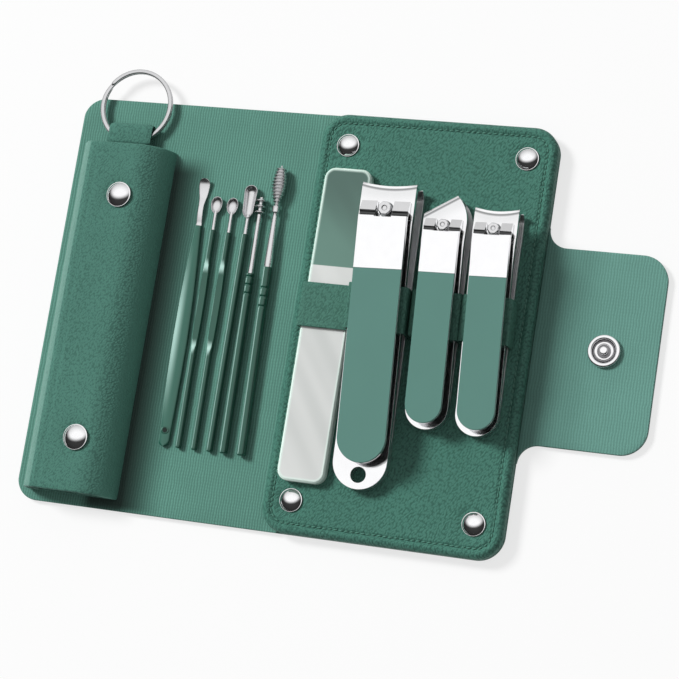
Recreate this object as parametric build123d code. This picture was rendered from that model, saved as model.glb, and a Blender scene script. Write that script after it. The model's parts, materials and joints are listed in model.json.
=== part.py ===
from build123d import *
import os
from dataclasses import dataclass
from math import atan, cos, degrees, radians, tan

# A folding leather manicure case, lying open and flat, with its set in place: three nail
# clippers and a glass file under the strap of the padded panel, and six ear picks lying on
# the lining between the panel and the sleeve.
# Millimetres. X runs across the leaves, Y up the case towards its key ring, Z up.
# The origin is the middle of the panel leaf's underside, which lies on the table.

# ---- The case, as high as its file needs
file_length = 85.4
file_room = 14.8  # from the file's end to the case's edge, before the file's offset
case_height = file_length + 2 * file_room
panel_width = 65.6
left_reach = 72.5  # from the panel's left edge to the case's left edge
cover_thickness = 0.9
lining_thickness = 0.6
case_corner = 6.0
fold_inset = 0.4  # from the panel's edge to the fold beside it
fold_gap = 0.3  # between the two sides of a fold
spine_width = 6.0

# ---- The padded panel
skin_thickness = 0.9
board_thickness = 1.6
foam_thickness = 1.0
panel_corner = 7.0
panel_edge_round = 1.4
rivet_inset_x = 7.9
rivet_inset_y = 8.9

# ---- The closing tab and its snap
tab_reach = 32.8
tab_width = 52.4
tab_corner = 7.0
tab_root_fillet = 5.2
snap_from_panel = 18.9
snap_diameter = 8.6
snap_flange = 0.5
snap_ring_height = 1.2
snap_ring_width = 1.1
snap_ring_round = 0.4
snap_nub_diameter = 3.0
snap_nub_height = 1.7
snap_nub_round = 0.75
snap_cap_diameter = 9.4
snap_cap_thickness = 0.5
snap_socket_inset = 9.5  # from the case's left edge to the socket's centre
snap_socket_depth = 1.3
snap_socket_floor = 0.25
snap_well_clearance = 0.25

# ---- Rivets
rivet_diameter = 6.5
rivet_dome = 1.7
rivet_rim = 0.35
rivet_post_diameter = 2.6
rivet_back_diameter = 5.6
rivet_back_thickness = 0.5
sleeve_rivet_back_diameter = 4.8

# ---- The sleeve on the left leaf
sleeve_inset = 3.6  # from the case's left edge
sleeve_width = 26.6
sleeve_length = 97.9
sleeve_foot = 2.9  # from the case's bottom edge
sleeve_height = 8.0
sleeve_wall = 1.0
sleeve_fold_radius = 3.0
sleeve_side_radius = 10.0
sleeve_side_middle = 0.62  # share of the rolled side's reach at which its curve is given a point
sleeve_rivet_spacing = 68.1
sleeve_rivet_inset = 14.8  # from the sleeve's left side

# ---- The key ring and its leather loop
ring_diameter = 21.8
ring_wire = 1.5
ring_gap = 0.6  # between its two ends
ring_gap_angle = 147.0
loop_width = 13.0
loop_thickness = 0.8
loop_reach = 6.4
loop_root_depth = 8.0
loop_play = 0.15
loop_end_round = 0.45  # share of the loop's height
loop_inset = 9.8  # from the case's left edge

# ---- The strap
strap_width = 12.1
strap_centre_y = 3.45
strap_thickness = 0.7
strap_play = 0.22  # beside the things that it holds
strap_lift = 0.32  # over them
rest_gap = 0.05  # under the things that lie on the panel or the lining

# ---- The glass file
file_width = 13.3
file_thickness = 2.6
file_corner = 3.0
file_edge = 0.5
file_centre_x = -22.6
file_centre_y = -1.1

# ---- The clippers, each measured from its own tail
clipper_turn = 1.3  # anticlockwise in the plane of the panel
post_play = 0.45
pin_play = 0.1
seat_play = 0.15  # between the lever's nose and the jaw it rests on

# ---- The ear picks, measured from the end of their handles
pick_end_y = -38.5
spatula_x = -64.15
spatula_turn = 0.7  # every pick lies turned a little anticlockwise
short_spoon_x = -59.65
short_spoon_turn = 0.65
short_spoon_neck = 60.8
round_spoon_x = -55.1
round_spoon_turn = 0.55
round_spoon_neck = 60.4
scoop_x = -50.6
scoop_turn = 0.2
ringed_x = -46.45
ringed_turn = 0.9
brush_x = -41.25
brush_turn = 1.3
handle_end_round = 0.2
groove_width = 0.5
groove_depth = 0.2
spoon_wall = 0.35

leaf_z = cover_thickness + lining_thickness
panel_top = cover_thickness + board_thickness + foam_thickness + skin_thickness
half_height = case_height / 2
panel_left = -panel_width / 2
panel_right = panel_width / 2
case_left = panel_left - left_reach
spine_fold_x = panel_left - fold_inset
leaf_fold_x = spine_fold_x - spine_width
tab_fold_x = panel_right + fold_inset


def block(x0, x1, y0, y1, z0, z1):
    """A plain block between two corners."""
    return Pos(x0, y0, z0) * Box(x1 - x0, y1 - y0, z1 - z0, align=(Align.MIN,) * 3)


def disc(diameter, z0, z1, x=0.0, y=0.0):
    """An upright cylinder from z0 to z1."""
    return Pos(x, y, z0) * Cylinder(diameter / 2, z1 - z0, align=(Align.CENTER, Align.CENTER, Align.MIN))


def rounded_sheet(x0, x1, y0, y1, z0, z1, radius, left=True, right=True):
    """A sheet whose left and right pairs of corners can be rounded."""
    sheet = block(x0, x1, y0, y1, z0, z1)
    corners = sheet.edges().filter_by(Axis.Z).sort_by(Axis.X)
    chosen = (list(corners[:2]) if left else []) + (list(corners[2:]) if right else [])
    return fillet(chosen, radius)


def panel_rivet_places():
    """The four rivets of the panel."""
    x = panel_right - rivet_inset_x
    y = half_height - rivet_inset_y
    return [(-x, y), (x, y), (-x, -y), (x, -y)]


def rivet_cap(z):
    """A domed cap standing on a surface at height z."""
    rim = rivet_diameter / 2
    rise = rivet_dome - rivet_rim
    ball = (rim**2 + rise**2) / (2 * rise)
    dome = Pos(0, 0, z + rivet_dome - ball) * Sphere(ball)
    return disc(rivet_diameter, z, z + rivet_dome) & dome


def rivet_post(z0, z1, back=rivet_back_diameter):
    """A post with a flat head at z0, reaching up to the cap at z1."""
    return disc(rivet_post_diameter, z0, z1) + disc(back, z0, z0 + rivet_back_thickness)


# ---------------------------------------------------------------- the case's leaves


def panel_cover():
    """The outer leather under the panel, holed for the rivets."""
    cover = rounded_sheet(
        spine_fold_x + fold_gap / 2, panel_right, -half_height, half_height,
        0, cover_thickness, panel_corner, left=False,
    )
    for x, y in panel_rivet_places():
        cover -= Pos(x, y, 0) * rivet_post(0, cover_thickness)
    return cover


def panel_layer(inset, z0, z1):
    """One layer of the panel, inset from its outline."""
    return rounded_sheet(
        panel_left + inset, panel_right - inset, -half_height + inset, half_height - inset,
        z0, z1, panel_corner - inset,
    )


def drilled(layer, z0, z1):
    """A layer of the panel with the holes for its rivets' posts."""
    for x, y in panel_rivet_places():
        layer -= disc(rivet_post_diameter, z0, z1, x, y)
    return layer


def panel_board():
    """The stiff board in the panel."""
    z0 = cover_thickness
    return drilled(panel_layer(skin_thickness, z0, z0 + board_thickness), z0, z0 + board_thickness)


def panel_foam():
    """The thin padding on the board."""
    z0 = cover_thickness + board_thickness
    return drilled(panel_layer(skin_thickness, z0, z0 + foam_thickness), z0, z0 + foam_thickness)


def panel_skin():
    """The leather drawn over the padding and down the board's sides."""
    skin = panel_layer(0, cover_thickness, panel_top)
    skin = fillet(skin.faces().sort_by(Axis.Z)[-1].edges(), panel_edge_round)
    skin -= panel_layer(skin_thickness, cover_thickness, panel_top - skin_thickness)
    skin = drilled(skin, cover_thickness, panel_top)
    for x0, x1 in strap_slits():
        skin -= block(x0, x1, *strap_span(), panel_top - skin_thickness, panel_top)
    return skin


def spine_sheet(z0, z1):
    """One layer of the narrow spine between the two folds."""
    return block(
        leaf_fold_x + fold_gap / 2, spine_fold_x - fold_gap / 2, -half_height, half_height, z0, z1
    )


def leaf_sheet(z0, z1):
    """One layer of the left leaf, rounded at its free corners."""
    return rounded_sheet(
        case_left, leaf_fold_x - fold_gap / 2, -half_height, half_height, z0, z1,
        case_corner, right=False,
    )


def snap_socket_place():
    """The socket's centre, on the outside of the left leaf."""
    return case_left + snap_socket_inset


def leaf_cover():
    """The outer leather of the left leaf, with the socket let into it."""
    return leaf_sheet(0, cover_thickness) - disc(snap_diameter, 0, cover_thickness, snap_socket_place())


def leaf_lining():
    """The lining of the left leaf."""
    lining = leaf_sheet(cover_thickness, leaf_z)
    return lining - disc(snap_diameter, cover_thickness, snap_socket_depth, snap_socket_place())


def snap_socket():
    """The female half of the snap, flush in the outside of the left leaf."""
    socket = disc(snap_diameter, 0, snap_socket_depth)
    well = snap_nub_diameter + 2 * snap_well_clearance
    socket -= disc(well, 0, snap_socket_depth - snap_socket_floor)
    return Pos(snap_socket_place(), 0, 0) * socket


def tab_outline():
    """The tab's plan: flared into the panel's edge, rounded at its free corners."""
    x0 = panel_right + fold_gap
    x1 = panel_right + tab_reach
    half = tab_width / 2
    root = half + tab_root_fillet
    slant = cos(radians(45))
    fillet_x = x0 + tab_root_fillet
    fillet_mid = tab_root_fillet * (1 - slant)
    corner_mid = tab_corner * (1 - slant)
    upper = (
        ThreePointArc((x0, root), (x0 + fillet_mid, half + fillet_mid), (fillet_x, half))
        + Line((fillet_x, half), (x1 - tab_corner, half))
        + ThreePointArc((x1 - tab_corner, half), (x1 - corner_mid, half - corner_mid), (x1, half - tab_corner))
        + Line((x1, half - tab_corner), (x1, 0))
    )
    return make_face(upper + mirror(upper, Plane.XZ) + Line((x0, -root), (x0, root)))


def tab_sheet(z0, z1):
    """One layer of the tab, with the hole for its snap."""
    sheet = Pos(0, 0, z0) * extrude(tab_outline(), z1 - z0)
    return sheet - disc(rivet_post_diameter, z0, z1, snap_x())


def snap_x():
    """The centre of the tab's snap."""
    return panel_right + snap_from_panel


def tab_cover():
    """The tab's outer leather, with the snap's cap let into it."""
    return tab_sheet(0, cover_thickness) - disc(snap_cap_diameter, 0, snap_cap_thickness, snap_x())


def tab_lining():
    """The tab's lining."""
    return tab_sheet(cover_thickness, leaf_z)


def snap_cap():
    """The cap on the tab's outside, with the tube that holds the snap's male half."""
    cap = disc(snap_cap_diameter, 0, snap_cap_thickness)
    return Pos(snap_x(), 0, 0) * (cap + disc(rivet_post_diameter, snap_cap_thickness, leaf_z))


def snap_stud():
    """The male half of the snap: a raised ring round a central nub."""
    nub = Cylinder(snap_nub_diameter / 2, snap_nub_height, align=(Align.CENTER, Align.CENTER, Align.MIN))
    nub = fillet(nub.edges().sort_by(Axis.Z)[-1], snap_nub_round)
    ring = disc(snap_diameter, 0, snap_ring_height)
    ring = fillet(ring.edges().sort_by(Axis.Z)[-1], snap_ring_round)
    ring -= disc(snap_diameter - 2 * snap_ring_width, snap_flange, snap_ring_height)
    return Pos(snap_x(), 0, leaf_z) * (ring + nub)


# ---------------------------------------------------------------- the sleeve and the key ring

sleeve_left = case_left + sleeve_inset
sleeve_right = sleeve_left + sleeve_width
sleeve_bottom = -half_height + sleeve_foot
sleeve_top = sleeve_bottom + sleeve_length


def sleeve_section(inset):
    """The sleeve's section: upright at the left, flat on top, rolled down at the right."""
    x0, x1 = sleeve_left + inset, sleeve_right - inset
    z0, z1 = leaf_z + inset, leaf_z + sleeve_height - inset
    fold = sleeve_fold_radius - inset
    side = sleeve_side_radius - inset
    reach = (side**2 - (side - (z1 - z0)) ** 2) ** 0.5
    flat_end = x1 - reach
    slant = cos(radians(45))
    middle = reach * sleeve_side_middle
    mid_x = flat_end + middle
    mid_z = z1 - side + (side**2 - middle**2) ** 0.5
    edge = (
        Line((x1, z0), (x0, z0))
        + Line((x0, z0), (x0, z1 - fold))
        + ThreePointArc((x0, z1 - fold), (x0 + fold * (1 - slant), z1 - fold * (1 - slant)), (x0 + fold, z1))
        + Line((x0 + fold, z1), (flat_end, z1))
        + ThreePointArc((flat_end, z1), (mid_x, mid_z), (x1, z0))
    )
    return make_face(edge)


def along_sleeve(face):
    """A section in XZ carried up the sleeve's length."""
    return Pos(0, sleeve_bottom, 0) * extrude(Plane.XZ * face, -sleeve_length)


def sleeve_rivet_places():
    """The two rivets in the sleeve's roof."""
    x = sleeve_left + sleeve_rivet_inset
    middle = sleeve_bottom + sleeve_length / 2
    return [(x, middle + sleeve_rivet_spacing / 2), (x, middle - sleeve_rivet_spacing / 2)]


def sleeve():
    """The leather sleeve: a flattened tube, open at both ends."""
    tube = along_sleeve(sleeve_section(0)) - along_sleeve(sleeve_section(sleeve_wall))
    roof = leaf_z + sleeve_height
    for x, y in sleeve_rivet_places():
        tube -= disc(rivet_post_diameter, roof - sleeve_wall, roof, x, y)
    return tube


def sleeve_rivet_caps():
    """The two domed caps on the sleeve."""
    cap = rivet_cap(leaf_z + sleeve_height)
    return Compound([Pos(x, y, 0) * cap for x, y in sleeve_rivet_places()])


def sleeve_rivet_posts():
    """The two posts that hold the sleeve's caps, headed inside its roof."""
    roof = leaf_z + sleeve_height
    post = rivet_post(roof - sleeve_wall - rivet_back_thickness, roof, sleeve_rivet_back_diameter)
    return Compound([Pos(x, y, 0) * post for x, y in sleeve_rivet_places()])


loop_left = case_left + loop_inset
loop_z = leaf_z + 2 * rest_gap
channel_height = ring_wire + 2 * loop_play
loop_height = channel_height + 2 * loop_thickness
loop_middle = loop_z + loop_height / 2
loop_start = sleeve_top + fold_gap


def across_loop(face):
    """A section in YZ carried across the loop's width."""
    return Pos(loop_left, 0, 0) * extrude(Plane.YZ * face, loop_width)


def ring_loop():
    """The leather loop that holds the ring: a strip folded back on itself, sewn at its root."""
    end = loop_start + loop_reach
    half = loop_height / 2
    root = loop_thickness
    swell = loop_start + loop_thickness
    outer = across_loop(
        make_face(
            Polyline(
                (loop_start, loop_middle - root), (swell, loop_middle - half), (end, loop_middle - half),
                (end, loop_middle + half), (swell, loop_middle + half), (loop_start, loop_middle + root),
                close=True,
            )
        )
    )
    outer = fillet(outer.edges().filter_by(Axis.X).sort_by(Axis.Y)[-2:], loop_end_round * loop_height)
    channel = block(
        loop_left, loop_left + loop_width, swell, end - loop_thickness,
        loop_middle - channel_height / 2, loop_middle + channel_height / 2,
    )
    return outer - fillet(channel.edges().filter_by(Axis.X).sort_by(Axis.Y)[-2:], loop_end_round * channel_height)


def ring_loop_root():
    """The loop's sewn end, held inside the sleeve's mouth."""
    return block(
        loop_left, loop_left + loop_width, sleeve_top - loop_root_depth, sleeve_top,
        loop_middle - loop_thickness, loop_middle + loop_thickness,
    )


def split_ring():
    """The wire ring, cut through at one place."""
    radius = (ring_diameter - ring_wire) / 2
    ring = Torus(radius, ring_wire / 2)
    ring -= Rot(0, 0, ring_gap_angle) * Pos(radius, 0, 0) * Box(2 * ring_wire, ring_gap, 2 * ring_wire)
    x = loop_left + loop_width / 2
    y = loop_start + loop_thickness + loop_play + ring_diameter / 2
    return Pos(x, y, loop_middle) * ring


# ---------------------------------------------------------------- the clippers


@dataclass
class Clipper:
    """A nail clipper lying on the panel, its lever folded flat over its jaws."""

    name: str
    tail_x: float
    tail_y: float
    length: float
    jaw_width: float
    body_width: float
    strip: float  # thickness of each jaw
    height: float  # top of the upper jaw at its post
    weld: float  # how far the two jaws lie on each other
    post_setback: float  # from the cutting edge back to the post
    lip: float  # how far the upper jaw's lip reaches forwards as it turns down
    bite: float  # height of the lower cutting edge
    mouth: float  # between the two cutting edges
    hollow: float  # depth of the hollow in the cutting edge
    post_diameter: float
    lever_tail: float  # from the tail to the lever's end
    lever_width: float
    lever_thickness: float
    lever_tail_gap: float
    lever_turn: float  # how far the lever has swung on its post
    paint_start: float  # from the post back to the painted cover
    nose_reach: float  # from the post to the front of the lever's nose
    nose_back: float  # from the post back to the lever's groove
    groove_width: float
    key_hole: float = 0.0
    key_hole_place: float = 0.0
    slant: float = 0.0  # angle of the cutting edge across the clipper
    peak_x: float = 0.0

    lever_rise = 2.9
    groove_bow = 0.45  # depth of the rolled groove as a share of its width
    cover_depth = 0.5
    head_rise = 1.3  # from the lever's seat to the underside of the post's head
    head_thickness = 0.7
    head_overhang = 0.4
    head_chamfer = 0.2
    edge_blunt = 0.25
    upturn_share = 1.5  # reach of the lower jaw's turned-up edge as a share of the lip's
    rivet_diameter = 2.6
    rivet_setback = 1.5  # from the end of the weld back to the tail rivet
    crest_length = 4.0  # the level part of the upper jaw behind the post
    shoulder_share = 0.76  # of the length, where the jaws begin to flare
    flare_share = 0.88  # of the length, where they reach their full width
    slant_bulge_side = 0.5
    slant_bulge_front = 0.9
    slant_join = 0.5
    fork_play = 0.7  # between the post and the lever's fork
    fork_reach = 0.3
    nose_edge = 0.9  # height of the nose at its front
    nose_top = 2.4  # height of its two pads beside the groove
    plate_lap = 0.2

    @property
    def post(self):
        """From the tail to the post."""
        return self.length - self.post_setback

    @property
    def flat_start(self):
        """Where the upper jaw stops rising."""
        return self.post - self.crest_length

    @property
    def upper_edge(self):
        """Height of the upper cutting edge."""
        return self.bite + self.mouth

    @property
    def seat(self):
        """Height of the lever's underside at the post."""
        return self.height + seat_play

    def jaw_top(self, y):
        """Height of the upper jaw's top at a distance y from the tail."""
        share = (y - self.weld) / (self.flat_start - self.weld)
        return 2 * self.strip + (self.height - 2 * self.strip) * min(max(share, 0.0), 1.0)

    def place(self, shape):
        """Moves a shape from the clipper's own frame to its place on the panel."""
        return Pos(self.tail_x, self.tail_y, panel_top + rest_gap) * Rot(0, 0, clipper_turn) * shape

    def plan(self):
        """The clipper's outline from above: round tail, flared jaws, shaped cutting edge."""
        tail, body, jaw = self.body_width / 2, self.body_width / 2, self.jaw_width / 2
        shoulder = self.shoulder_share * self.length
        front = self.flare_share * self.length
        side_right = Line((body, tail), (body, shoulder)) + Line((body, shoulder), (jaw, front))
        side_left = Line((-jaw, front), (-body, shoulder)) + Line((-body, shoulder), (-body, tail))
        end = ThreePointArc((-body, tail), (0, 0), (body, tail))
        if self.slant:
            fall = (self.peak_x + jaw) * tan(radians(self.slant))
            corner = (-jaw, self.length - fall)
            peak = (self.peak_x, self.length)
            bulge_x = (self.peak_x + jaw) / 2 + self.slant_bulge_side
            bulge = (bulge_x, (self.length + front) / 2 + self.slant_bulge_front)
            edge = ThreePointArc((jaw, front), bulge, peak) + Line(peak, corner) + Line(corner, (-jaw, front))
        else:
            edge = (
                Line((jaw, front), (jaw, self.length))
                + ThreePointArc((jaw, self.length), (0, self.length - self.hollow), (-jaw, self.length))
                + Line((-jaw, self.length), (-jaw, front))
            )
        return make_face(end + side_right + edge + side_left)

    def strip_body(self, section):
        """A side section carried across the jaws and trimmed to the plan."""
        wide = 2 * self.jaw_width
        bar = extrude(Plane.YZ * section, wide, both=True)
        if self.slant:
            join = self.flat_start + self.slant_join
            far = 2 * self.length
            turned = Pos(self.peak_x, self.length, 0) * Rot(0, 0, self.slant) * Pos(0, -self.length, 0) * bar
            front = turned & block(-wide, wide, join, far, -far, far)
            bar = (bar & block(-wide, wide, -far, join, -far, far)) + front
        return bar & extrude(self.plan(), 2 * self.height)

    def lower_jaw(self):
        """The lower jaw: flat along the panel, turned up to its cutting edge."""
        bend = self.length - self.upturn_share * self.lip
        tip = self.length - self.edge_blunt
        section = make_face(
            Line((0, 0), (bend, 0))
            + TangentArc((bend, 0), (self.length, self.bite), tangent=(1, 0))
            + Line((self.length, self.bite), (tip, self.bite))
            + TangentArc((bend - self.strip / 2, self.strip), (tip, self.bite), tangent=(1, 0))
            + Line((bend - self.strip / 2, self.strip), (0, self.strip))
            + Line((0, self.strip), (0, 0))
        )
        return self.drill(self.strip_body(section), self.post_diameter, 0, self.strip)

    def upper_jaw(self):
        """The upper jaw: rising from the tail, its lip turned down to the cutting edge."""
        t, h = self.strip, self.height
        bend, tip = self.length - self.lip, self.length - self.edge_blunt
        section = make_face(
            Line((0, t), (self.weld, t))
            + Line((self.weld, t), (self.flat_start, h - t))
            + Line((self.flat_start, h - t), (bend - t / 2, h - t))
            + TangentArc((bend - t / 2, h - t), (tip, self.upper_edge), tangent=(1, 0))
            + Line((tip, self.upper_edge), (self.length, self.upper_edge))
            + TangentArc((bend, h), (self.length, self.upper_edge), tangent=(1, 0))
            + Line((bend, h), (self.flat_start, h))
            + Line((self.flat_start, h), (self.weld, 2 * t))
            + Line((self.weld, 2 * t), (0, 2 * t))
            + Line((0, 2 * t), (0, t))
        )
        return self.drill(self.strip_body(section), self.post_diameter + 2 * post_play, t, h)

    def drill(self, jaw, post_hole, z0, z1):
        """Cuts a jaw's holes for the post, the tail rivet and the key ring."""
        jaw -= disc(post_hole, z0, z1, 0, self.post)
        jaw -= disc(self.rivet_diameter + 2 * pin_play, z0, z1, 0, self.weld - self.rivet_setback)
        if self.key_hole:
            jaw -= disc(self.key_hole, z0, z1, 0, self.key_hole_place)
        return jaw

    def tail_rivet(self):
        """The flush rivet that joins the two jaws near the tail."""
        return disc(self.rivet_diameter, 0, 2 * self.strip, 0, self.weld - self.rivet_setback)

    def post_pin(self):
        """The post through both jaws, its head in the lever's nose."""
        top = self.seat + self.head_rise
        pin = disc(self.post_diameter, 0, top, 0, self.post)
        head = disc(self.post_diameter + 2 * self.head_overhang, top, top + self.head_thickness, 0, self.post)
        return pin + chamfer(head.edges().sort_by(Axis.Z)[-1], self.head_chamfer)

    def lever_bottom(self, y):
        """Height of the lever's underside at a distance y from the tail."""
        back = self.post - self.nose_back - self.groove_width
        front_z = self.seat + self.lever_rise - self.lever_thickness
        tail_z = 2 * self.strip + self.lever_tail_gap
        return front_z + (tail_z - front_z) * (back - y) / (back - self.lever_tail)

    def lever_plan(self, start, end, grow=0.0):
        """The lever's outline between two distances from the tail, round at its tail end."""
        half = self.lever_width / 2
        if start > self.lever_tail:
            return make_face(Polyline((-half, start), (half, start), (half, end), (-half, end), close=True))
        return make_face(
            ThreePointArc((-half, start + half), (0, start), (half, start + half))
            + Polyline((half, start + half), (half, end), (-half, end), (-half, start + half))
        )

    def lever_section(self, z_shift, thickness, start, end):
        """A bar that follows the lever's slope between two distances from the tail."""
        z0, z1 = self.lever_bottom(start) + z_shift, self.lever_bottom(end) + z_shift
        return Plane.YZ * make_face(
            Polyline((start, z0), (end, z1), (end, z1 + thickness), (start, z0 + thickness), close=True)
        )

    def swing(self, shape):
        """Turns a shape about the post by the lever's small swing."""
        return Pos(0, self.post, 0) * Rot(0, 0, self.lever_turn) * Pos(0, -self.post, 0) * shape

    def lever(self):
        """The lever: a forked nose round the post, a groove, and the plate under the cover."""
        groove = self.post - self.nose_back
        back = groove - self.groove_width
        front = self.post + self.nose_reach
        paint = self.post - self.paint_start
        half = self.lever_width / 2
        plate = extrude(self.lever_section(0, self.lever_thickness, self.lever_tail, back), half, both=True)
        top = self.seat + self.lever_rise
        pad = self.seat + self.nose_top
        valley = ((back + groove) / 2, (pad + top) / 2 - self.groove_bow * self.groove_width)
        section = (
            Line((back - self.plate_lap, top - self.lever_thickness), (groove, self.seat))
            + Line((groove, self.seat), (front, self.seat))
            + Line((front, self.seat), (front, self.seat + self.nose_edge))
            + Line((front, self.seat + self.nose_edge), (groove, pad))
            + ThreePointArc((groove, pad), valley, (back, top))
            + Line((back, top), (back - self.plate_lap, top - self.lever_thickness))
        )
        nose = extrude(Plane.YZ * make_face(section), half, both=True)
        slot = self.post_diameter / 2 + self.fork_play
        lever = plate + nose
        lever -= block(-slot, slot, self.post - slot - self.fork_reach, self.length, 0, 3 * self.height)
        lever &= extrude(self.lever_plan(self.lever_tail, self.length), 3 * self.height)
        lever -= extrude(
            self.lever_section(self.lever_thickness - self.cover_depth, self.lever_thickness, 0, paint),
            self.lever_width, both=True,
        )
        return self.swing(lever)

    def lever_cover(self):
        """The painted cover on the lever's plate."""
        paint = self.post - self.paint_start
        bar = extrude(
            self.lever_section(self.lever_thickness - self.cover_depth, self.cover_depth, self.lever_tail, paint),
            self.lever_width / 2, both=True,
        )
        return self.swing(bar & extrude(self.lever_plan(self.lever_tail, paint), 3 * self.height))

    def tunnel(self):
        """The space that the strap leaves for the jaws: left, right, and top at each edge."""
        y = strap_centre_y - self.tail_y
        x = self.tail_x - y * tan(radians(clipper_turn))
        half = self.body_width / 2 + tan(radians(clipper_turn)) * strap_width / 2 + strap_play
        base = panel_top + rest_gap + strap_lift
        near = base + self.jaw_top(y - strap_width / 2)
        far = base + self.jaw_top(y + strap_width / 2)
        return x - half, x + half, near, far

    def nodes(self):
        """The clipper's six pieces, in place."""
        parts = {
            "lower_jaw": self.lower_jaw(),
            "upper_jaw": self.upper_jaw(),
            "post": self.post_pin(),
            "tail_rivet": self.tail_rivet(),
            "lever": self.lever(),
            "lever_cover": self.lever_cover(),
        }
        return {f"{self.name}_{part}": self.place(shape) for part, shape in parts.items()}


big_clipper = Clipper(
    name="big_clipper", tail_x=-6.6, tail_y=-43.9, length=80.6, jaw_width=14.9, body_width=14.7,
    strip=1.6, height=9.6, weld=13.0, post_setback=7.3, lip=1.2, bite=3.6, mouth=3.0, hollow=0.9,
    post_diameter=3.2, lever_tail=6.4, lever_width=13.2, lever_thickness=1.3, lever_tail_gap=3.5, lever_turn=1.0,
    paint_start=16.3, nose_reach=2.1, nose_back=0.8, groove_width=1.5,
    key_hole=4.2, key_hole_place=3.8,
)
small_clipper = Clipper(
    name="small_clipper", tail_x=22.3, tail_y=-26.45, length=59.2, jaw_width=11.8, body_width=11.4,
    strip=1.3, height=8.0, weld=8.0, post_setback=5.9, lip=1.0, bite=3.1, mouth=2.6, hollow=0.9,
    post_diameter=2.6, lever_tail=1.0, lever_width=10.0, lever_thickness=1.2, lever_tail_gap=3.3,
    lever_turn=1.0, paint_start=12.9, nose_reach=1.7, nose_back=0.7, groove_width=1.1,
)
slant_clipper = Clipper(
    name="slant_clipper", tail_x=8.75, tail_y=-26.2, length=61.4, jaw_width=11.8, body_width=11.4,
    strip=1.3, height=8.0, weld=8.0, post_setback=8.5, lip=1.0, bite=3.1, mouth=2.6, hollow=0.0,
    post_diameter=2.6, lever_tail=1.0, lever_width=9.8, lever_thickness=1.2, lever_tail_gap=3.3,
    lever_turn=0.4, paint_start=12.9, nose_reach=1.7, nose_back=0.7, groove_width=1.1,
    slant=32.0, peak_x=2.5,
)
clippers = [big_clipper, slant_clipper, small_clipper]


# ---------------------------------------------------------------- the file and the strap


def glass_file():
    """The glass nail file."""
    glass = rounded_sheet(
        -file_width / 2, file_width / 2, -file_length / 2, file_length / 2, 0, file_thickness, file_corner
    )
    glass = chamfer(glass.faces().sort_by(Axis.Z)[-1].edges(), file_edge)
    return Pos(file_centre_x, file_centre_y, panel_top + rest_gap) * glass


def file_tunnel():
    """The space that the strap leaves for the file: left, right, and top at each edge."""
    half = file_width / 2 + strap_play
    top = panel_top + rest_gap + file_thickness + strap_lift
    return file_centre_x - half, file_centre_x + half, top, top


def strap_span():
    """The strap's lower and upper edges."""
    return strap_centre_y - strap_width / 2, strap_centre_y + strap_width / 2


def tunnels():
    """Every space under the strap, from the left."""
    return [file_tunnel()] + [clipper.tunnel() for clipper in (big_clipper, slant_clipper, small_clipper)]


def strap_slits():
    """The two slits in the panel's skin where the strap's ends go through."""
    spaces = tunnels()
    left, right = spaces[0][0], spaces[-1][1]
    return [(left - strap_thickness, left), (right, right + strap_thickness)]


def arch(x0, x1, near, far):
    """A block on the panel, as wide as the strap, its top sloping from near to far."""
    y0, y1 = strap_span()
    side = make_face(Polyline((y0, panel_top), (y1, panel_top), (y1, far), (y0, near), close=True))
    return Pos(x0, 0, 0) * extrude(Plane.YZ * side, x1 - x0)


def strap():
    """The strap: over the file, then over each clipper's jaws and under its lever."""
    y0, y1 = strap_span()
    t = strap_thickness
    band = Part()
    for x0, x1, near, far in tunnels():
        outer = arch(x0 - t, x1 + t, near + t, far + t)
        band += fillet(outer.faces().sort_by(Axis.Z)[-1].edges().sort_by(Axis.Y)[1:3], t)
    spaces = tunnels()
    for (_, start, _, _), (end, _, _, _) in zip(spaces, spaces[1:]):
        band += block(start, end, y0, y1, panel_top, panel_top + t)
    for space in spaces:
        band -= arch(*space)
    for x0, x1 in strap_slits():
        band += block(x0, x1, y0, y1, panel_top - skin_thickness, panel_top)
    return band


# ---------------------------------------------------------------- the ear picks


def turned(*profile):
    """A solid turned about the Y axis, from (y, radius) pairs along its side."""
    points = [(0, profile[0][0])] + [(r, y) for y, r in profile] + [(0, profile[-1][0])]
    return revolve(make_face(Polyline(*points, close=True)), Axis.Y)


def turned_handle(radius, length, grooves=()):
    """A round handle, its end eased, with shallow rings turned into it."""
    profile = [(0, radius - handle_end_round), (handle_end_round, radius)]
    for y in sorted(grooves):
        floor = radius - groove_depth
        profile += [(y, radius), (y, floor), (y + groove_width, floor), (y + groove_width, radius)]
    return turned(*profile, (length, radius))


def egg(length, width, depth):
    """An ellipsoid about the origin, for the round bowls."""
    return scale(Sphere(1), by=(width / 2, length / 2, depth))


def capsule(length, width, depth):
    """A flattened bar with round ends about the origin, for the long bowl."""
    half = split(Rot(0, 0, 90) * SlotOverall(length, width), Plane.YZ)
    return scale(revolve(half, Axis.Y), by=(1, 1, 2 * depth / width))


def bowl(form, y0, y1, width, depth):
    """The bowl of an ear spoon: the lower half of its form, hollowed from above."""
    length = y1 - y0
    thinner = 2 * spoon_wall
    hollow = form(length - thinner, width - thinner, depth - spoon_wall)
    shell = form(length, width, depth) - hollow
    shell = shell & block(-width, width, -length, length, -2 * depth, 0)
    return Pos(0, (y0 + y1) / 2, depth / 3) * shell


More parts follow.
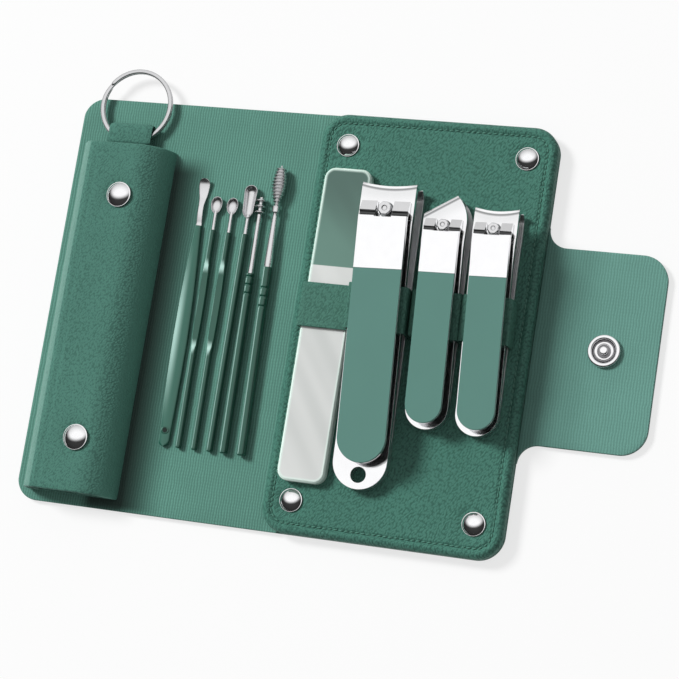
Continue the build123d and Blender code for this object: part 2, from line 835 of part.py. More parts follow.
@dataclass
class Pick:
    """An ear pick lying on the lining: a steel head in a painted handle."""

    name: str
    x: float  # of the handle's end
    turn: float  # anticlockwise in the plane of the lining
    handle: Part
    head: Part
    end_radius: float
    rest_radius: float  # where the head rests on the lining
    rest_y: float

    def nodes(self):
        """The pick's head and handle, in place."""
        tilt = degrees(atan((self.rest_radius - self.end_radius) / self.rest_y))
        place = Pos(self.x, pick_end_y, leaf_z + rest_gap + self.end_radius)
        place *= Rot(0, 0, self.turn) * Rot(tilt, 0, 0)
        return {f"{self.name}_head": place * self.head, f"{self.name}_handle": place * self.handle}


def spatula():
    """The flat spatula: a leaf-shaped handle with a hole, and a spread tip."""
    thick = 1.2
    head_thick = 0.9
    end = 1.6  # half the handle's width at its end
    belly = 2.2
    belly_y = 30.0
    waist = 1.0
    waist_y = 61.7
    neck_y = 67.0
    neck = 0.75
    spread = 1.75
    spread_y = 72.4
    tip = 75.0
    hole = 1.3
    hole_y = 4.4
    end_slope = 0.05
    waist_slope = -0.02
    spread_slope = 0.1
    side = Spline((end, end), (belly, belly_y), (waist, waist_y), tangents=((end_slope, 1), (waist_slope, 1)))
    joint = Line((waist, waist_y), (-waist, waist_y))
    outline = side + mirror(side, Plane.YZ) + joint + ThreePointArc((-end, end), (0, 0), (end, end))
    handle = Pos(0, 0, -thick / 2) * extrude(make_face(outline), thick) - disc(hole, -thick, thick, 0, hole_y)
    edge = Spline((waist, waist_y), (neck, neck_y), (spread, spread_y), tangents=((0, 1), (spread_slope, 1)))
    outline = edge + mirror(edge, Plane.YZ) + joint
    outline += ThreePointArc((spread, spread_y), (0, tip), (-spread, spread_y))
    head = Pos(0, 0, -thick / 2) * extrude(make_face(outline), head_thick)
    return Pick("spatula_pick", spatula_x, spatula_turn, handle, head, thick / 2, thick / 2, tip)


def spoon(name, x, turn, neck):
    """An ear spoon with a flattened grip in its thin handle."""
    radius = 0.8
    stem = 0.55
    tip = 70.2
    bowl_y = 65.5
    bowl_lap = 0.6  # how far the stem runs into the bowl
    width = 3.3
    depth = 1.1
    grip_from = 26.8
    grip_to = 52.4
    grip_half = 1.05
    grip_point = 0.3
    grip_thick = 1.0
    side = Spline((grip_point, grip_from), (grip_half, (grip_from + grip_to) / 2), (grip_point, grip_to))
    ends = [Line((-grip_point, y), (grip_point, y)) for y in (grip_from, grip_to)]
    grip = extrude(make_face(side + mirror(side, Plane.YZ) + ends), grip_thick)
    handle = turned_handle(radius, neck) + Pos(0, 0, -grip_thick / 2) * grip
    head = turned((neck, stem), (bowl_y + bowl_lap, stem)) + bowl(egg, bowl_y, tip, width, depth)
    return Pick(name, x, turn, handle, head, radius, radius, tip)


def scoop():
    """The long oval scoop."""
    radius = 0.85
    stem = 0.6
    neck = 60.4
    tip = 74.0
    bowl_y = 65.2
    bowl_lap = 0.6
    width = 3.5
    depth = 1.2
    head = turned((neck, stem), (bowl_y + bowl_lap, stem)) + bowl(capsule, bowl_y, tip, width, depth)
    return Pick("scoop_pick", scoop_x, scoop_turn, turned_handle(radius, neck), head, radius, radius, tip)


def ringed():
    """The pick with three rings at its tip."""
    radius = 1.1
    neck = 49.6
    tip = 71.0
    foot = 0.85  # the head's radius where it leaves the handle
    stem = 0.65
    ring = 1.2
    rings_length = 4.8
    pitch = 1.65
    slope = 0.25  # from the stem up to each ring
    ring_width = 0.6
    grooves = (5.9, 3.5)  # down from the neck
    side = [(neck, foot)]
    for number in range(3):
        y = tip - rings_length + number * pitch
        side += [(y, stem), (y + slope, ring), (y + slope + ring_width, ring), (y + 2 * slope + ring_width, stem)]
    handle = turned_handle(radius, neck, [neck - drop for drop in grooves])
    return Pick("ringed_pick", ringed_x, ringed_turn, handle, turned(*side, (tip, stem)), radius, ring, tip)


def brush():
    """The pick with a ribbed, spindle-shaped brush tip and a collar."""
    radius = 1.2
    neck = 51.8
    shoulder = 0.2  # from the handle's side down to the head
    collar = 1.0
    collar_length = 1.8
    foot = 68.8
    core = 0.6
    tip = 80.2
    tip_radius = 0.3
    tip_point = 0.5
    widest = 1.75
    widest_share = 0.62
    ribs = 8
    rib_depth = 0.3
    grooves = (11.3, 8.6, 6.2)  # down from the neck
    collar_y = foot - collar_length
    pitch = (tip - tip_point - foot) / ribs
    side = [(neck, radius - shoulder), (collar_y, core), (collar_y, collar), (foot, collar), (foot, core)]
    for rib in range(ribs):
        share = (rib + 0.5) / ribs
        reach = core + (widest - core) * (1 - ((share - widest_share) / widest_share) ** 2)
        side += [(foot + (rib + 0.5) * pitch, reach), (foot + (rib + 0.95) * pitch, reach - rib_depth)]
    handle = turned_handle(radius, neck, [neck - drop for drop in grooves])
    rest_y = foot + (tip - foot) * widest_share
    head = turned(*side, (tip, tip_radius))
    return Pick("brush_pick", brush_x, brush_turn, handle, head, radius, widest, rest_y)


picks = [
    spatula(),
    spoon("short_spoon_pick", short_spoon_x, short_spoon_turn, short_spoon_neck),
    spoon("round_spoon_pick", round_spoon_x, round_spoon_turn, round_spoon_neck),
    scoop(),
    ringed(),
    brush(),
]

# ---------------------------------------------------------------- everything, by node

nodes = {
    "panel_cover": panel_cover(),
    "panel_board": panel_board(),
    "panel_foam": panel_foam(),
    "panel_skin": panel_skin(),
    "panel_rivet_caps": Compound([Pos(x, y, 0) * rivet_cap(panel_top) for x, y in panel_rivet_places()]),
    "panel_rivet_posts": Compound([Pos(x, y, 0) * rivet_post(0, panel_top) for x, y in panel_rivet_places()]),
    "strap": strap(),
    "glass_file": glass_file(),
    "spine_cover": spine_sheet(0, cover_thickness),
    "spine_lining": spine_sheet(cover_thickness, leaf_z),
    "leaf_cover": leaf_cover(),
    "leaf_lining": leaf_lining(),
    "snap_socket": snap_socket(),
    "sleeve": sleeve(),
    "sleeve_rivet_caps": sleeve_rivet_caps(),
    "sleeve_rivet_posts": sleeve_rivet_posts(),
    "ring_loop": ring_loop(),
    "ring_loop_root": ring_loop_root(),
    "split_ring": split_ring(),
    "tab_cover": tab_cover(),
    "tab_lining": tab_lining(),
    "snap_cap": snap_cap(),
    "snap_stud": snap_stud(),
}
for item in clippers + picks:
    nodes.update(item.nodes())

os.makedirs("parts", exist_ok=True)
for name, shape in nodes.items():
    export_step(shape, f"parts/{name}.step")
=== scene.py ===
"""A folding leather manicure case, open on a table, dressed over its CAD frame.

Metres throughout. X runs across the leaves, Y up the case to its key ring, Z up.
Each sub-assembly is a class that holds its sizes and builds and dresses its own meshes.
"""

from __future__ import annotations

import json
import logging
from dataclasses import dataclass
from enum import Enum
from typing import Sequence

import bmesh
import bpy
import numpy as np
from mathutils import Matrix, Vector

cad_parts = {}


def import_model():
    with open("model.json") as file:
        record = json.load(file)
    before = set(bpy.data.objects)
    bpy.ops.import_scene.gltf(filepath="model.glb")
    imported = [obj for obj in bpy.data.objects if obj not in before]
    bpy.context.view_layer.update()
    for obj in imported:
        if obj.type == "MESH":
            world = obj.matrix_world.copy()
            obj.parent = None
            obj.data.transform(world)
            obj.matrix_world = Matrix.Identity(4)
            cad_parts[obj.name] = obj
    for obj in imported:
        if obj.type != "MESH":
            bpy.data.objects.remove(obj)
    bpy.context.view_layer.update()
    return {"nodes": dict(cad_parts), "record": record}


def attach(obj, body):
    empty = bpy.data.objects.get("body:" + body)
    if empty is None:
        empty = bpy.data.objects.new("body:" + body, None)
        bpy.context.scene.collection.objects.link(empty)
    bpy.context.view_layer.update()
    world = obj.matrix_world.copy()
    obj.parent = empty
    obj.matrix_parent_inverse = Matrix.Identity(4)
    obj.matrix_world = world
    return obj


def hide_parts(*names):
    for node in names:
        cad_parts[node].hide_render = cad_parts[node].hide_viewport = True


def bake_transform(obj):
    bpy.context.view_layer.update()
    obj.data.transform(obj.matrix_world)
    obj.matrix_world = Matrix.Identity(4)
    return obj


MM = 0.001
LOG = logging.getLogger("manicure_case")
Array = np.ndarray
Colour = tuple[float, float, float, float]
EDGE = 0.22  # the radius of a sheet's eased edges, in millimetres


# ---------------------------------------------------------------- shader kit


def tone(red: float, green: float, blue: float) -> Colour:
    """Turns a paint-chart colour (0 to 255) into Blender's linear colour.

    Args:
        red: red share of the chart colour.
        green: green share of the chart colour.
        blue: blue share of the chart colour.

    Returns:
        The linear colour with full opacity.
    """
    chart = np.array([red, green, blue]) / 255.0
    low = chart / 12.92
    high = ((chart + 0.055) / 1.055) ** 2.4
    linear = np.where(chart <= 0.04045, low, high)
    return (float(linear[0]), float(linear[1]), float(linear[2]), 1.0)


def scaled(colour: Colour, share: float, lift: float = 0.0) -> Colour:
    """Makes a colour darker or paler.

    Args:
        colour: the colour.
        share: what each part is multiplied by.
        lift: what is added to each part after that.

    Returns:
        The colour, each part one at most, with full opacity.
    """
    return tuple(min(part * share + lift, 1.0) for part in colour[:3]) + (1.0,)


class Value:
    """One output of a shader node, with arithmetic written as Python operators."""

    def __init__(self, graph: "Graph", socket: bpy.types.NodeSocket) -> None:
        """Keeps the graph and the socket."""
        self.graph = graph
        self.socket = socket

    def math(self, operation: str, *others: "Value | float") -> "Value":
        """Adds a Math node.

        Args:
            operation: the Math node's operation.
            others: its further inputs.

        Returns:
            The node's output.
        """
        inputs = {0: self, **{i + 1: other for i, other in enumerate(others)}}
        return self.graph.node("ShaderNodeMath", {"operation": operation}, inputs)

    def __add__(self, other: "Value | float") -> "Value":
        """Sum."""
        return self.math("ADD", other)

    __radd__ = __add__

    def __mul__(self, other: "Value | float") -> "Value":
        """Product."""
        return self.math("MULTIPLY", other)

    __rmul__ = __mul__

    def __sub__(self, other: "Value | float") -> "Value":
        """Difference."""
        return self.math("SUBTRACT", other)

    def __rsub__(self, other: float) -> "Value":
        """Difference from a number."""
        return self.math("MULTIPLY", -1.0).math("ADD", other)

    def __truediv__(self, other: "Value | float") -> "Value":
        """Quotient."""
        return self.math("DIVIDE", other)

    def __pow__(self, other: float) -> "Value":
        """Power."""
        return self.math("POWER", other)

    def __abs__(self) -> "Value":
        """Size without its sign."""
        return self.math("ABSOLUTE")

    def sin(self) -> "Value":
        """Sine."""
        return self.math("SINE")

    def least(self, other: "Value | float") -> "Value":
        """The smaller of two."""
        return self.math("MINIMUM", other)

    def most(self, other: "Value | float") -> "Value":
        """The larger of two."""
        return self.math("MAXIMUM", other)

    def ramp(self, low: float, high: float) -> "Value":
        """A smooth step.

        Args:
            low: where the result is nought.
            high: where the result is one.

        Returns:
            The smooth step of the value between the two.
        """
        settings = {"interpolation_type": "SMOOTHSTEP"}
        return self.graph.node("ShaderNodeMapRange", settings, {0: self, 1: low, 2: high, 3: 0.0, 4: 1.0})


class Graph:
    """A material's node tree, built around one Principled shader."""

    def __init__(self, name: str) -> None:
        """Makes the material and clears its tree.

        Args:
            name: the material's name.
        """
        self.material = bpy.data.materials.new(name)
        self.material.use_nodes = True
        self.tree = self.material.node_tree
        self.tree.nodes.clear()
        self.out = self.tree.nodes.new("ShaderNodeOutputMaterial")

    def node(self, kind: str, settings: dict, inputs: dict, output: int | str = 0) -> Value:
        """Adds a node.

        Args:
            kind: the node's type.
            settings: attributes that are set before its sockets.
            inputs: values or links, by socket number or name.
            output: which output is wanted.

        Returns:
            That output.
        """
        made = self.tree.nodes.new(kind)
        for key, value in settings.items():
            setattr(made, key, value)
        for key, value in inputs.items():
            if isinstance(value, Value):
                self.tree.links.new(value.socket, made.inputs[key])
            else:
                made.inputs[key].default_value = value
        return Value(self, made.outputs[output])

    def place(self) -> tuple[Value, Value, Value]:
        """Object coordinates in millimetres, one Value for each axis."""
        found = self.node("ShaderNodeTexCoord", {}, {}, "Object")
        split = self.tree.nodes.new("ShaderNodeSeparateXYZ")
        self.tree.links.new(found.socket, split.inputs[0])
        return tuple(Value(self, out) * 1000.0 for out in split.outputs)

    def point(self, x: "Value | float", y: "Value | float", z: "Value | float") -> Value:
        """A vector from three values."""
        return self.node("ShaderNodeCombineXYZ", {}, {0: x, 1: y, 2: z})

    def noise(self, where: Value, scale: float, detail: float = 3.0, rough: float = 0.55) -> Value:
        """Smooth noise.

        Args:
            where: the point, in millimetres.
            scale: waves to a millimetre.
            detail: octaves.
            rough: how strong the finer octaves are.

        Returns:
            The noise, about nought to one.
        """
        inputs = {"Vector": where, "Scale": scale, "Detail": detail, "Roughness": rough}
        return self.node("ShaderNodeTexNoise", {"noise_dimensions": "3D"}, inputs, 0)

    def cells(self, where: Value) -> Value:
        """Distance from the nearest of many scattered points, one to each unit cell."""
        inputs = {"Vector": where, "Scale": 1.0, "Randomness": 0.85}
        options = {"feature": "F1", "voronoi_dimensions": "3D"}
        return self.node("ShaderNodeTexVoronoi", options, inputs, "Distance")

    def mix(self, share: "Value | float", first: "Value | tuple", second: "Value | tuple") -> Value:
        """Mixes two colours.

        Args:
            share: how much of the second.
            first: the first colour.
            second: the second colour.

        Returns:
            The mixed colour.
        """
        made = self.tree.nodes.new("ShaderNodeMix")
        made.data_type = "RGBA"
        for key, value in ((0, share), (6, first), (7, second)):
            if isinstance(value, Value):
                self.tree.links.new(value.socket, made.inputs[key])
            else:
                made.inputs[key].default_value = value
        return Value(self, made.outputs[2])

    def bump(self, height: Value, strength: float, depth: float) -> Value:
        """A bumped normal.

        Args:
            height: the relief, nought to one.
            strength: how much of it shows.
            depth: the relief's height in millimetres.

        Returns:
            The normal.
        """
        inputs = {"Strength": strength, "Distance": depth * MM, "Height": height}
        return self.node("ShaderNodeBump", {}, inputs)

    def shader(self, **inputs: "Value | float | tuple") -> Value:
        """A Principled shader.

        Args:
            inputs: its sockets, with underscores for spaces.

        Returns:
            The shader.
        """
        named = {key.replace("_", " "): value for key, value in inputs.items()}
        return self.node("ShaderNodeBsdfPrincipled", {}, named)

    def finish(self, surface: Value) -> bpy.types.Material:
        """Joins the shader to the material's output and returns the material."""
        self.tree.links.new(surface.socket, self.out.inputs["Surface"])
        return self.material


# ---------------------------------------------------------------- finishes


class Grain(Enum):
    """The two embossed grains."""

    PEBBLED = "pebbled"
    WOVEN = "woven"


@dataclass(frozen=True)
class Leather:
    """Embossed leather, paler on its ridges and darker between.

    It may carry a painted shadow beside an upright edge on its left: the x where the shade
    begins to clear and is gone, its depth, and its lower and upper y. It may carry a painted
    highlight along a fold, between two x, and a painted fill light that makes it paler towards
    a side, from one x to another.
    """

    name: str
    colour: Colour
    grain: Grain
    pitch: float = 0.78
    relief: float = 0.11
    strength: float = 1.0
    roughness: float = 0.54
    contrast: float = 0.24
    shade: tuple[float, float, float, float, float] | None = None
    painted_fold_highlight: tuple[float, float] | None = None
    painted_fill_light: tuple[float, float] | None = None

    def relief_of(self, graph: Graph) -> Value:
        """The grain's height.

        Args:
            graph: the material's nodes.

        Returns:
            Nought in the valleys to one on the ridges. Pebbled grain is one less the distance
            from scattered points, drawn out along a diagonal. Woven grain is the sine of the
            distance across over the pitch, broken by a second wave along and by noise.
        """
        x, y, z = graph.place()
        where = graph.point(x, y, z)
        fine = graph.noise(where, 2.6, 2.0)
        if self.grain is Grain.PEBBLED:
            across, along = x * 0.87 - y * 0.5 + z * 0.8, x * 0.5 + y * 0.87
            cell = graph.point(across / (0.7 * self.pitch), along / (1.45 * self.pitch), z / self.pitch)
            pebble = 1.0 - graph.cells(cell).ramp(0.3, 0.75)
            return (pebble * 0.88 + fine * 0.14).least(1.0)
        drift = graph.noise(where, 0.35, 2.0) * 2.2
        first = (x + z * 0.8) / self.pitch + drift * 0.45
        second = (y + z * 0.5) / (1.15 * self.pitch) + drift * 0.5
        full_turn = 6.2832
        ridge = (first * full_turn).sin() * 0.5 + 0.5
        cut = (second * full_turn).sin() * 0.5 + 0.5
        return (ridge * (cut * 0.4 + 0.6) * 0.75 + fine * 0.35).least(1.0)

    def material(self) -> bpy.types.Material:
        """Builds the material."""
        graph = Graph(self.name)
        height = self.relief_of(graph)
        x, y, z = graph.place()
        cloud = graph.noise(graph.point(x, y, z), 0.045, 3.0)
        deep = scaled(self.colour, 1.0 - self.contrast)
        pale = scaled(self.colour, 1.0 + 0.8 * self.contrast, 0.004)
        worn = scaled(self.colour, 1.12)
        ground = graph.mix(cloud.ramp(0.35, 0.7), self.colour, worn)
        low = graph.mix(height.ramp(0.0, 0.5), deep, ground)
        colour = graph.mix(height.ramp(0.55, 1.0) * 0.6, low, pale)
        if self.shade:
            # Painted shadow: it sets in over 4 mm, is full 10 mm before it begins to clear, and ends softly in
            # y.
            clearing, clear, depth, bottom, top = self.shade
            beside = x.ramp(clearing - 14.0, clearing - 10.0) * (1.0 - x.ramp(clearing, clear))
            reach = y.ramp(bottom - 5.0, bottom - 1.0) * (1.0 - y.ramp(top - 6.0, top + 0.5))
            colour = graph.mix(beside * reach * depth, colour, scaled(self.colour, 0.12))
        # Painted fill light: paler towards the right, standing in for light on the sleeve's right flank.
        if self.painted_fill_light:
            colour = graph.mix(x.ramp(*self.painted_fill_light), colour, scaled(self.colour, 1.5))
        # Painted highlight: the fold's rounded edge, paler where it catches the light.
        if self.painted_fold_highlight:
            first, last = self.painted_fold_highlight
            band = x.ramp(first, first + 1.6) * (1.0 - x.ramp(last - 0.3, last + 0.15))
            colour = graph.mix(band * 0.42, colour, tone(128, 166, 155))
        rough = self.roughness + 0.12 - height * 0.16 + cloud * 0.06
        normal = graph.bump(height, self.strength, self.relief)
        return graph.finish(graph.shader(Base_Color=colour, Roughness=rough, Normal=normal, IOR=1.34))


@dataclass(frozen=True)
class Thread:
    """Waxed sewing thread, twisted."""

    name: str
    colour: Colour

    def material(self) -> bpy.types.Material:
        """Builds the material."""
        graph = Graph(self.name)
        x, y, z = graph.place()
        twist = ((x + y + z * 2.0) * 12.0).sin() * 0.5 + 0.5
        deep = scaled(self.colour, 0.7)
        colour = graph.mix(twist, deep, self.colour)
        return graph.finish(
            graph.shader(Base_Color=colour, Roughness=0.55, Normal=graph.bump(twist, 0.5, 0.05))
        )


@dataclass(frozen=True)
class Metal:
    """Plated or polished metal with a fine haze and faint polishing lines.

    A groove, given by a point, a turn and two distances along it, is painted dark, a painted
    shade and dark reflection. The ground hollow behind a cutting lip, given by a point on it, its
    turn and its bow, carries a painted shade too, with a painted dark line near the lip.
    """

    name: str
    colour: Colour
    roughness: float = 0.14
    haze: float = 0.06
    lines: float = 0.02
    groove: tuple[float, float, float, float, float] | None = None
    lip: tuple[float, float, float, float] | None = None

    def material(self) -> bpy.types.Material:
        """Builds the material."""
        graph = Graph(self.name)
        x, y, z = graph.place()
        cloud = graph.noise(graph.point(x, y, z), 0.3, 3.0)
        streak = graph.noise(graph.point(x * 9.0, y * 0.4, z * 9.0), 1.0, 2.0)
        dull = scaled(self.colour, 0.93)
        colour = graph.mix(cloud, dull, self.colour)
        # Painted shade and dark reflection in the lever's groove.
        if self.groove:
            cx, cy, turn, back, front = self.groove
            along = (y - cy) * float(np.cos(turn)) - (x - cx) * float(np.sin(turn))
            sunk = along.ramp(back, back + 0.3) - along.ramp(front - 0.1, front + 0.1)
            colour = graph.mix(sunk * 0.95, colour, tone(44, 46, 46))
        # Painted shade: a dark line about a millimetre behind the cutting lip, and a grey hollow behind that.
        if self.lip:
            cx, cy, turn, bow = self.lip
            across = (x - cx) * float(np.cos(turn)) + (y - cy) * float(np.sin(turn))
            behind = (x - cx) * float(np.sin(turn)) - (y - cy) * float(np.cos(turn)) + across * across * bow
            line = behind.ramp(0.55, 0.75) - behind.ramp(0.95, 1.5)
            hollow = behind.ramp(0.8, 1.0) * (1.0 - behind.ramp(1.6, 5.5))
            colour = graph.mix(hollow * 0.17, colour, tone(120, 124, 124))
            colour = graph.mix(line * 0.72, colour, tone(84, 88, 88))
        rough = self.roughness + cloud * self.haze + streak * self.lines
        normal = graph.bump(streak, 0.05, 0.01)
        return graph.finish(
            graph.shader(Base_Color=colour, Metallic=1.0, Roughness=rough, Normal=normal)
        )


@dataclass(frozen=True)
class Enamel:
    """Satin baked enamel with a trace of orange peel.

    On rods a painted highlight runs along the side that faces lit_from, up and left, where the
    light falls. Over a wider part of that side there are painted glints near places along Y,
    given with their half lengths.
    """

    name: str
    colour: Colour
    roughness: float = 0.3
    coat: float = 0.2
    metallic: float = 0.0
    streak: float = 0.0
    facing: tuple[float, float] = (0.74, 0.93)
    glow: float = 0.85
    glints: tuple[tuple[float, float], ...] = ()
    lit_from: tuple[float, float, float] = (-0.6, 0.15, 0.78)

    def material(self) -> bpy.types.Material:
        """Builds the material."""
        graph = Graph(self.name)
        x, y, z = graph.place()
        where = graph.point(x, y, z)
        peel = graph.noise(where, 1.6, 2.0)
        cloud = graph.noise(where, 0.07, 2.0)
        pale = scaled(self.colour, 1.1)
        colour = graph.mix(cloud, self.colour, pale)
        # Painted highlight: a streak along the lit side, and painted glints near given places.
        if self.streak:
            facing = graph.node("ShaderNodeTexCoord", {}, {}, "Normal")
            sockets = {0: facing, 1: self.lit_from}
            lit = graph.node("ShaderNodeVectorMath", {"operation": "DOT_PRODUCT"}, sockets, "Value")
            bright = lit.ramp(0.92, 0.995) * self.streak
            for centre, half in self.glints:
                near = 1.0 - (abs(y - centre) / half).ramp(0.0, 1.0)
                bright = (bright + lit.ramp(*self.facing) * near * self.glow).least(1.0)
            colour = graph.mix(bright, colour, tone(178, 216, 206))
        rough = self.roughness + peel * 0.04
        return graph.finish(
            graph.shader(
                Base_Color=colour, Metallic=self.metallic, Roughness=rough, Coat_Weight=self.coat,
                Coat_Roughness=0.12, Normal=graph.bump(peel, 0.05, 0.02),
            )
        )


@dataclass(frozen=True)
class FileGlass:
    """Tempered glass: clear at its held end, etched to a frosted filing face below."""

    name: str
    centre: tuple[float, float]
    half: tuple[float, float]
    corner: float
    etched_below: float
    deep: Colour = tone(58, 92, 82)
    clear: Colour = tone(84, 124, 111)
    frosted: Colour = tone(210, 212, 210)
    rim: Colour = tone(222, 244, 234)

    def material(self) -> bpy.types.Material:
        """Builds the material. The rim is a painted highlight, the light caught in the glass's edge; its mask
        is the distance inside a rounded rectangle.
        """
        graph = Graph(self.name)
        x, y, z = graph.place()
        across = (abs(x - self.centre[0]) - (self.half[0] - self.corner)).most(0.0)
        along = (abs(y - self.centre[1]) - (self.half[1] - self.corner)).most(0.0)
        inside = self.corner - (across * across + along * along) ** 0.5
        edge = 1.0 - inside.ramp(0.35, 1.2)
        etched = 1.0 - y.ramp(self.etched_below - 0.12, self.etched_below + 0.12)
        where = graph.point(x, y, z)
        grit = graph.noise(where, 7.0, 2.0)
        sheen = graph.noise(graph.point(x + y * 0.7, x * 0.2, 0.0), 0.09, 1.0)
        frost = graph.mix(sheen.ramp(0.35, 0.65), self.frosted, tone(192, 195, 193))
        depth = (y - self.etched_below) / (self.half[1] - self.etched_below) + sheen - 0.5
        held = graph.mix(depth.ramp(0.1, 1.0), self.clear, self.deep)
        body = graph.mix(etched, held, frost)
        # Painted highlight along the glass's edge.
        colour = graph.mix(edge * 0.85, body, self.rim)
        rough = etched * 0.38 + 0.06 + grit * etched * 0.12
        normal = graph.bump(grit * etched, 0.25, 0.03)
        return graph.finish(
            graph.shader(
                Base_Color=colour, Roughness=rough, Coat_Weight=0.5, Coat_Roughness=0.05,
                Normal=normal, IOR=1.5,
            )
        )


@dataclass(frozen=True)
class Filling:
    """Board or foam: pale, speckled and matt."""

    name: str
    colour: Colour

    def material(self) -> bpy.types.Material:
        """Builds the material."""
        graph = Graph(self.name)
        x, y, z = graph.place()
        speck = graph.noise(graph.point(x, y, z), 3.0, 3.0)
        deep = scaled(self.colour, 0.75)
        colour = graph.mix(speck, deep, self.colour)
        return graph.finish(
            graph.shader(Base_Color=colour, Roughness=0.85, Normal=graph.bump(speck, 0.4, 0.1))
        )


class Finishes:
    """Every material, made once."""

    def __init__(self) -> None:
        """Builds the materials."""
        self.skin = Leather(
            "cover_leather", tone(66, 112, 99), Grain.PEBBLED, pitch=0.6, contrast=0.3, relief=0.1,
        ).material()
        # The sleeve carries a painted highlight on its left fold and a painted fill light on its right flank.
        self.sleeve = Leather(
            "sleeve_leather", tone(71, 115, 103), Grain.PEBBLED, pitch=0.5, relief=0.06,
            painted_fold_highlight=(-101.9, -98.2), painted_fill_light=(-80.5, -77.0),
        ).material()
        self.strap = Leather(
            "strap_leather", tone(69, 112, 99), Grain.PEBBLED, pitch=0.55, contrast=0.25, relief=0.07,
        ).material()
        # The lining carries a painted shadow beside the sleeve's right side.
        self.lining = Leather(
            "lining_leather", tone(88, 134, 121), Grain.WOVEN, pitch=0.75, contrast=0.36, relief=0.08,
            shade=(-72.4, -61.2, 0.96, -54.6, 43.3),
        ).material()
        # The tab's lining is the lining's leather painted paler, a painted light on the tab; it also carries a
        # painted shadow beside the panel.
        self.tab_lining = Leather(
            "tab_lining_leather", tone(98, 143, 132), Grain.WOVEN, pitch=0.75, contrast=0.22, relief=0.05,
            shade=(43.0, 51.0, 0.22, -60.0, 60.0),
        ).material()
        self.thread = Thread("thread", tone(84, 134, 119)).material()
        self.chrome = Metal("chrome", (0.93, 0.93, 0.94, 1.0), roughness=0.07).material()
        self.steel = Metal("polished_steel", (0.74, 0.74, 0.75, 1.0), roughness=0.2).material()
        self.jaw = Metal("satin_steel", (0.88, 0.88, 0.89, 1.0), roughness=0.26).material()
        # Dark steel for the snap's dish and the spatula's hole: a painted shade in a well.
        self.shade_well = Metal("worn_steel", (0.22, 0.22, 0.23, 1.0), roughness=0.2).material()
        self.wire = Metal("wire_steel", (0.66, 0.66, 0.67, 1.0), roughness=0.18).material()
        self.enamel = Enamel("green_enamel", tone(77, 122, 112)).material()
        # The handles carry painted highlights: a streak along each rod's lit side, and glints.
        glossy = {"roughness": 0.2, "coat": 0.4, "metallic": 0.25}
        self.handle = Enamel("handle_enamel", tone(30, 78, 64), streak=0.8, **glossy).material()
        self.broad = Enamel(
            "broad_enamel", tone(38, 92, 77), streak=0.25, glints=((-7.0, 27.0),), **glossy
        ).material()
        self.gripped = Enamel(
            "gripped_enamel", tone(30, 78, 64), streak=0.7, facing=(0.45, 0.8), glow=1.0,
            glints=((-10.6, 2.4), (12.2, 2.4)), **glossy,
        ).material()
        self.dark = Enamel("hole_shade", tone(16, 28, 24), roughness=0.6, coat=0.0).material()
        self.board = Filling("grey_board", tone(150, 146, 136)).material()
        self.foam = Filling("white_foam", tone(224, 222, 214)).material()


# ---------------------------------------------------------------- mesh kit


def make_piece(
    name: str, mesh: bpy.types.Mesh, material: bpy.types.Material, smooth: float = 40.0
) -> bpy.types.Object:
    """Makes an object of a mesh, with merged seams, outward faces and smooth shading.

    Args:
        name: the piece's name.
        mesh: its mesh, in place.
        material: its finish.
        smooth: edges sharper than this many degrees stay sharp.

    Returns:
        The object, linked to the scene.
    """
    work = bmesh.new()
    work.from_mesh(mesh)
    bmesh.ops.remove_doubles(work, verts=work.verts, dist=2e-7)
    bmesh.ops.recalc_face_normals(work, faces=work.faces)
    work.to_mesh(mesh)
    work.free()
    mesh.materials.clear()
    mesh.materials.append(material)
    mesh.set_sharp_from_angle(angle=np.radians(smooth))
    mesh.polygons.foreach_set("use_smooth", np.ones(len(mesh.polygons), bool))
    made = bpy.data.objects.new(name, mesh)
    bpy.context.scene.collection.objects.link(made)
    return made


def loft(name: str, rings: Array, loop: bool = False, cap: bool = True) -> bpy.types.Mesh:
    """A surface through closed rings of points.

    Args:
        name: the mesh's name.
        rings: points by ring and by place round the ring, in metres.
        loop: whether the last ring joins the first.
        cap: whether the end rings are filled.

    Returns:
        The mesh: each quad joins a point, its neighbour round, and the same two on the next ring.
    """
    count, around = rings.shape[:2]
    steps = count if loop else count - 1
    ring, place = np.meshgrid(np.arange(steps), np.arange(around), indexing="ij")
    after, beside = (ring + 1) % count, (place + 1) % around
    quads = np.stack(
        [ring * around + place, ring * around + beside, after * around + beside, after * around + place], -1
    )
    faces = quads.reshape(-1, 4).tolist()
    if cap and not loop:
        faces.append(list(range(around))[::-1])
        faces.append(list(range((count - 1) * around, count * around)))
    mesh = bpy.data.meshes.new(name)
    mesh.from_pydata(rings.reshape(-1, 3).tolist(), [], faces)
    return mesh


def joined(name: str, shells: Sequence[Array], cap: bool = True) -> bpy.types.Mesh:
    """One mesh of several shells.

    Args:
        name: the mesh's name.
        shells: the rings of each shell.
        cap: whether their end rings are filled.

    Returns:
        The mesh.
    """
    work = bmesh.new()
    for rings in shells:
        part = loft(name, rings, cap=cap)
        work.from_mesh(part)
        bpy.data.meshes.remove(part)
    mesh = bpy.data.meshes.new(name)
    work.to_mesh(mesh)
    work.free()
    return mesh


def stack(x: Array, y: Array, z: Array) -> Array:
    """Points from three arrays of one shape, turned from millimetres to metres."""
    return np.stack(np.broadcast_arrays(x, y, z), -1) * MM


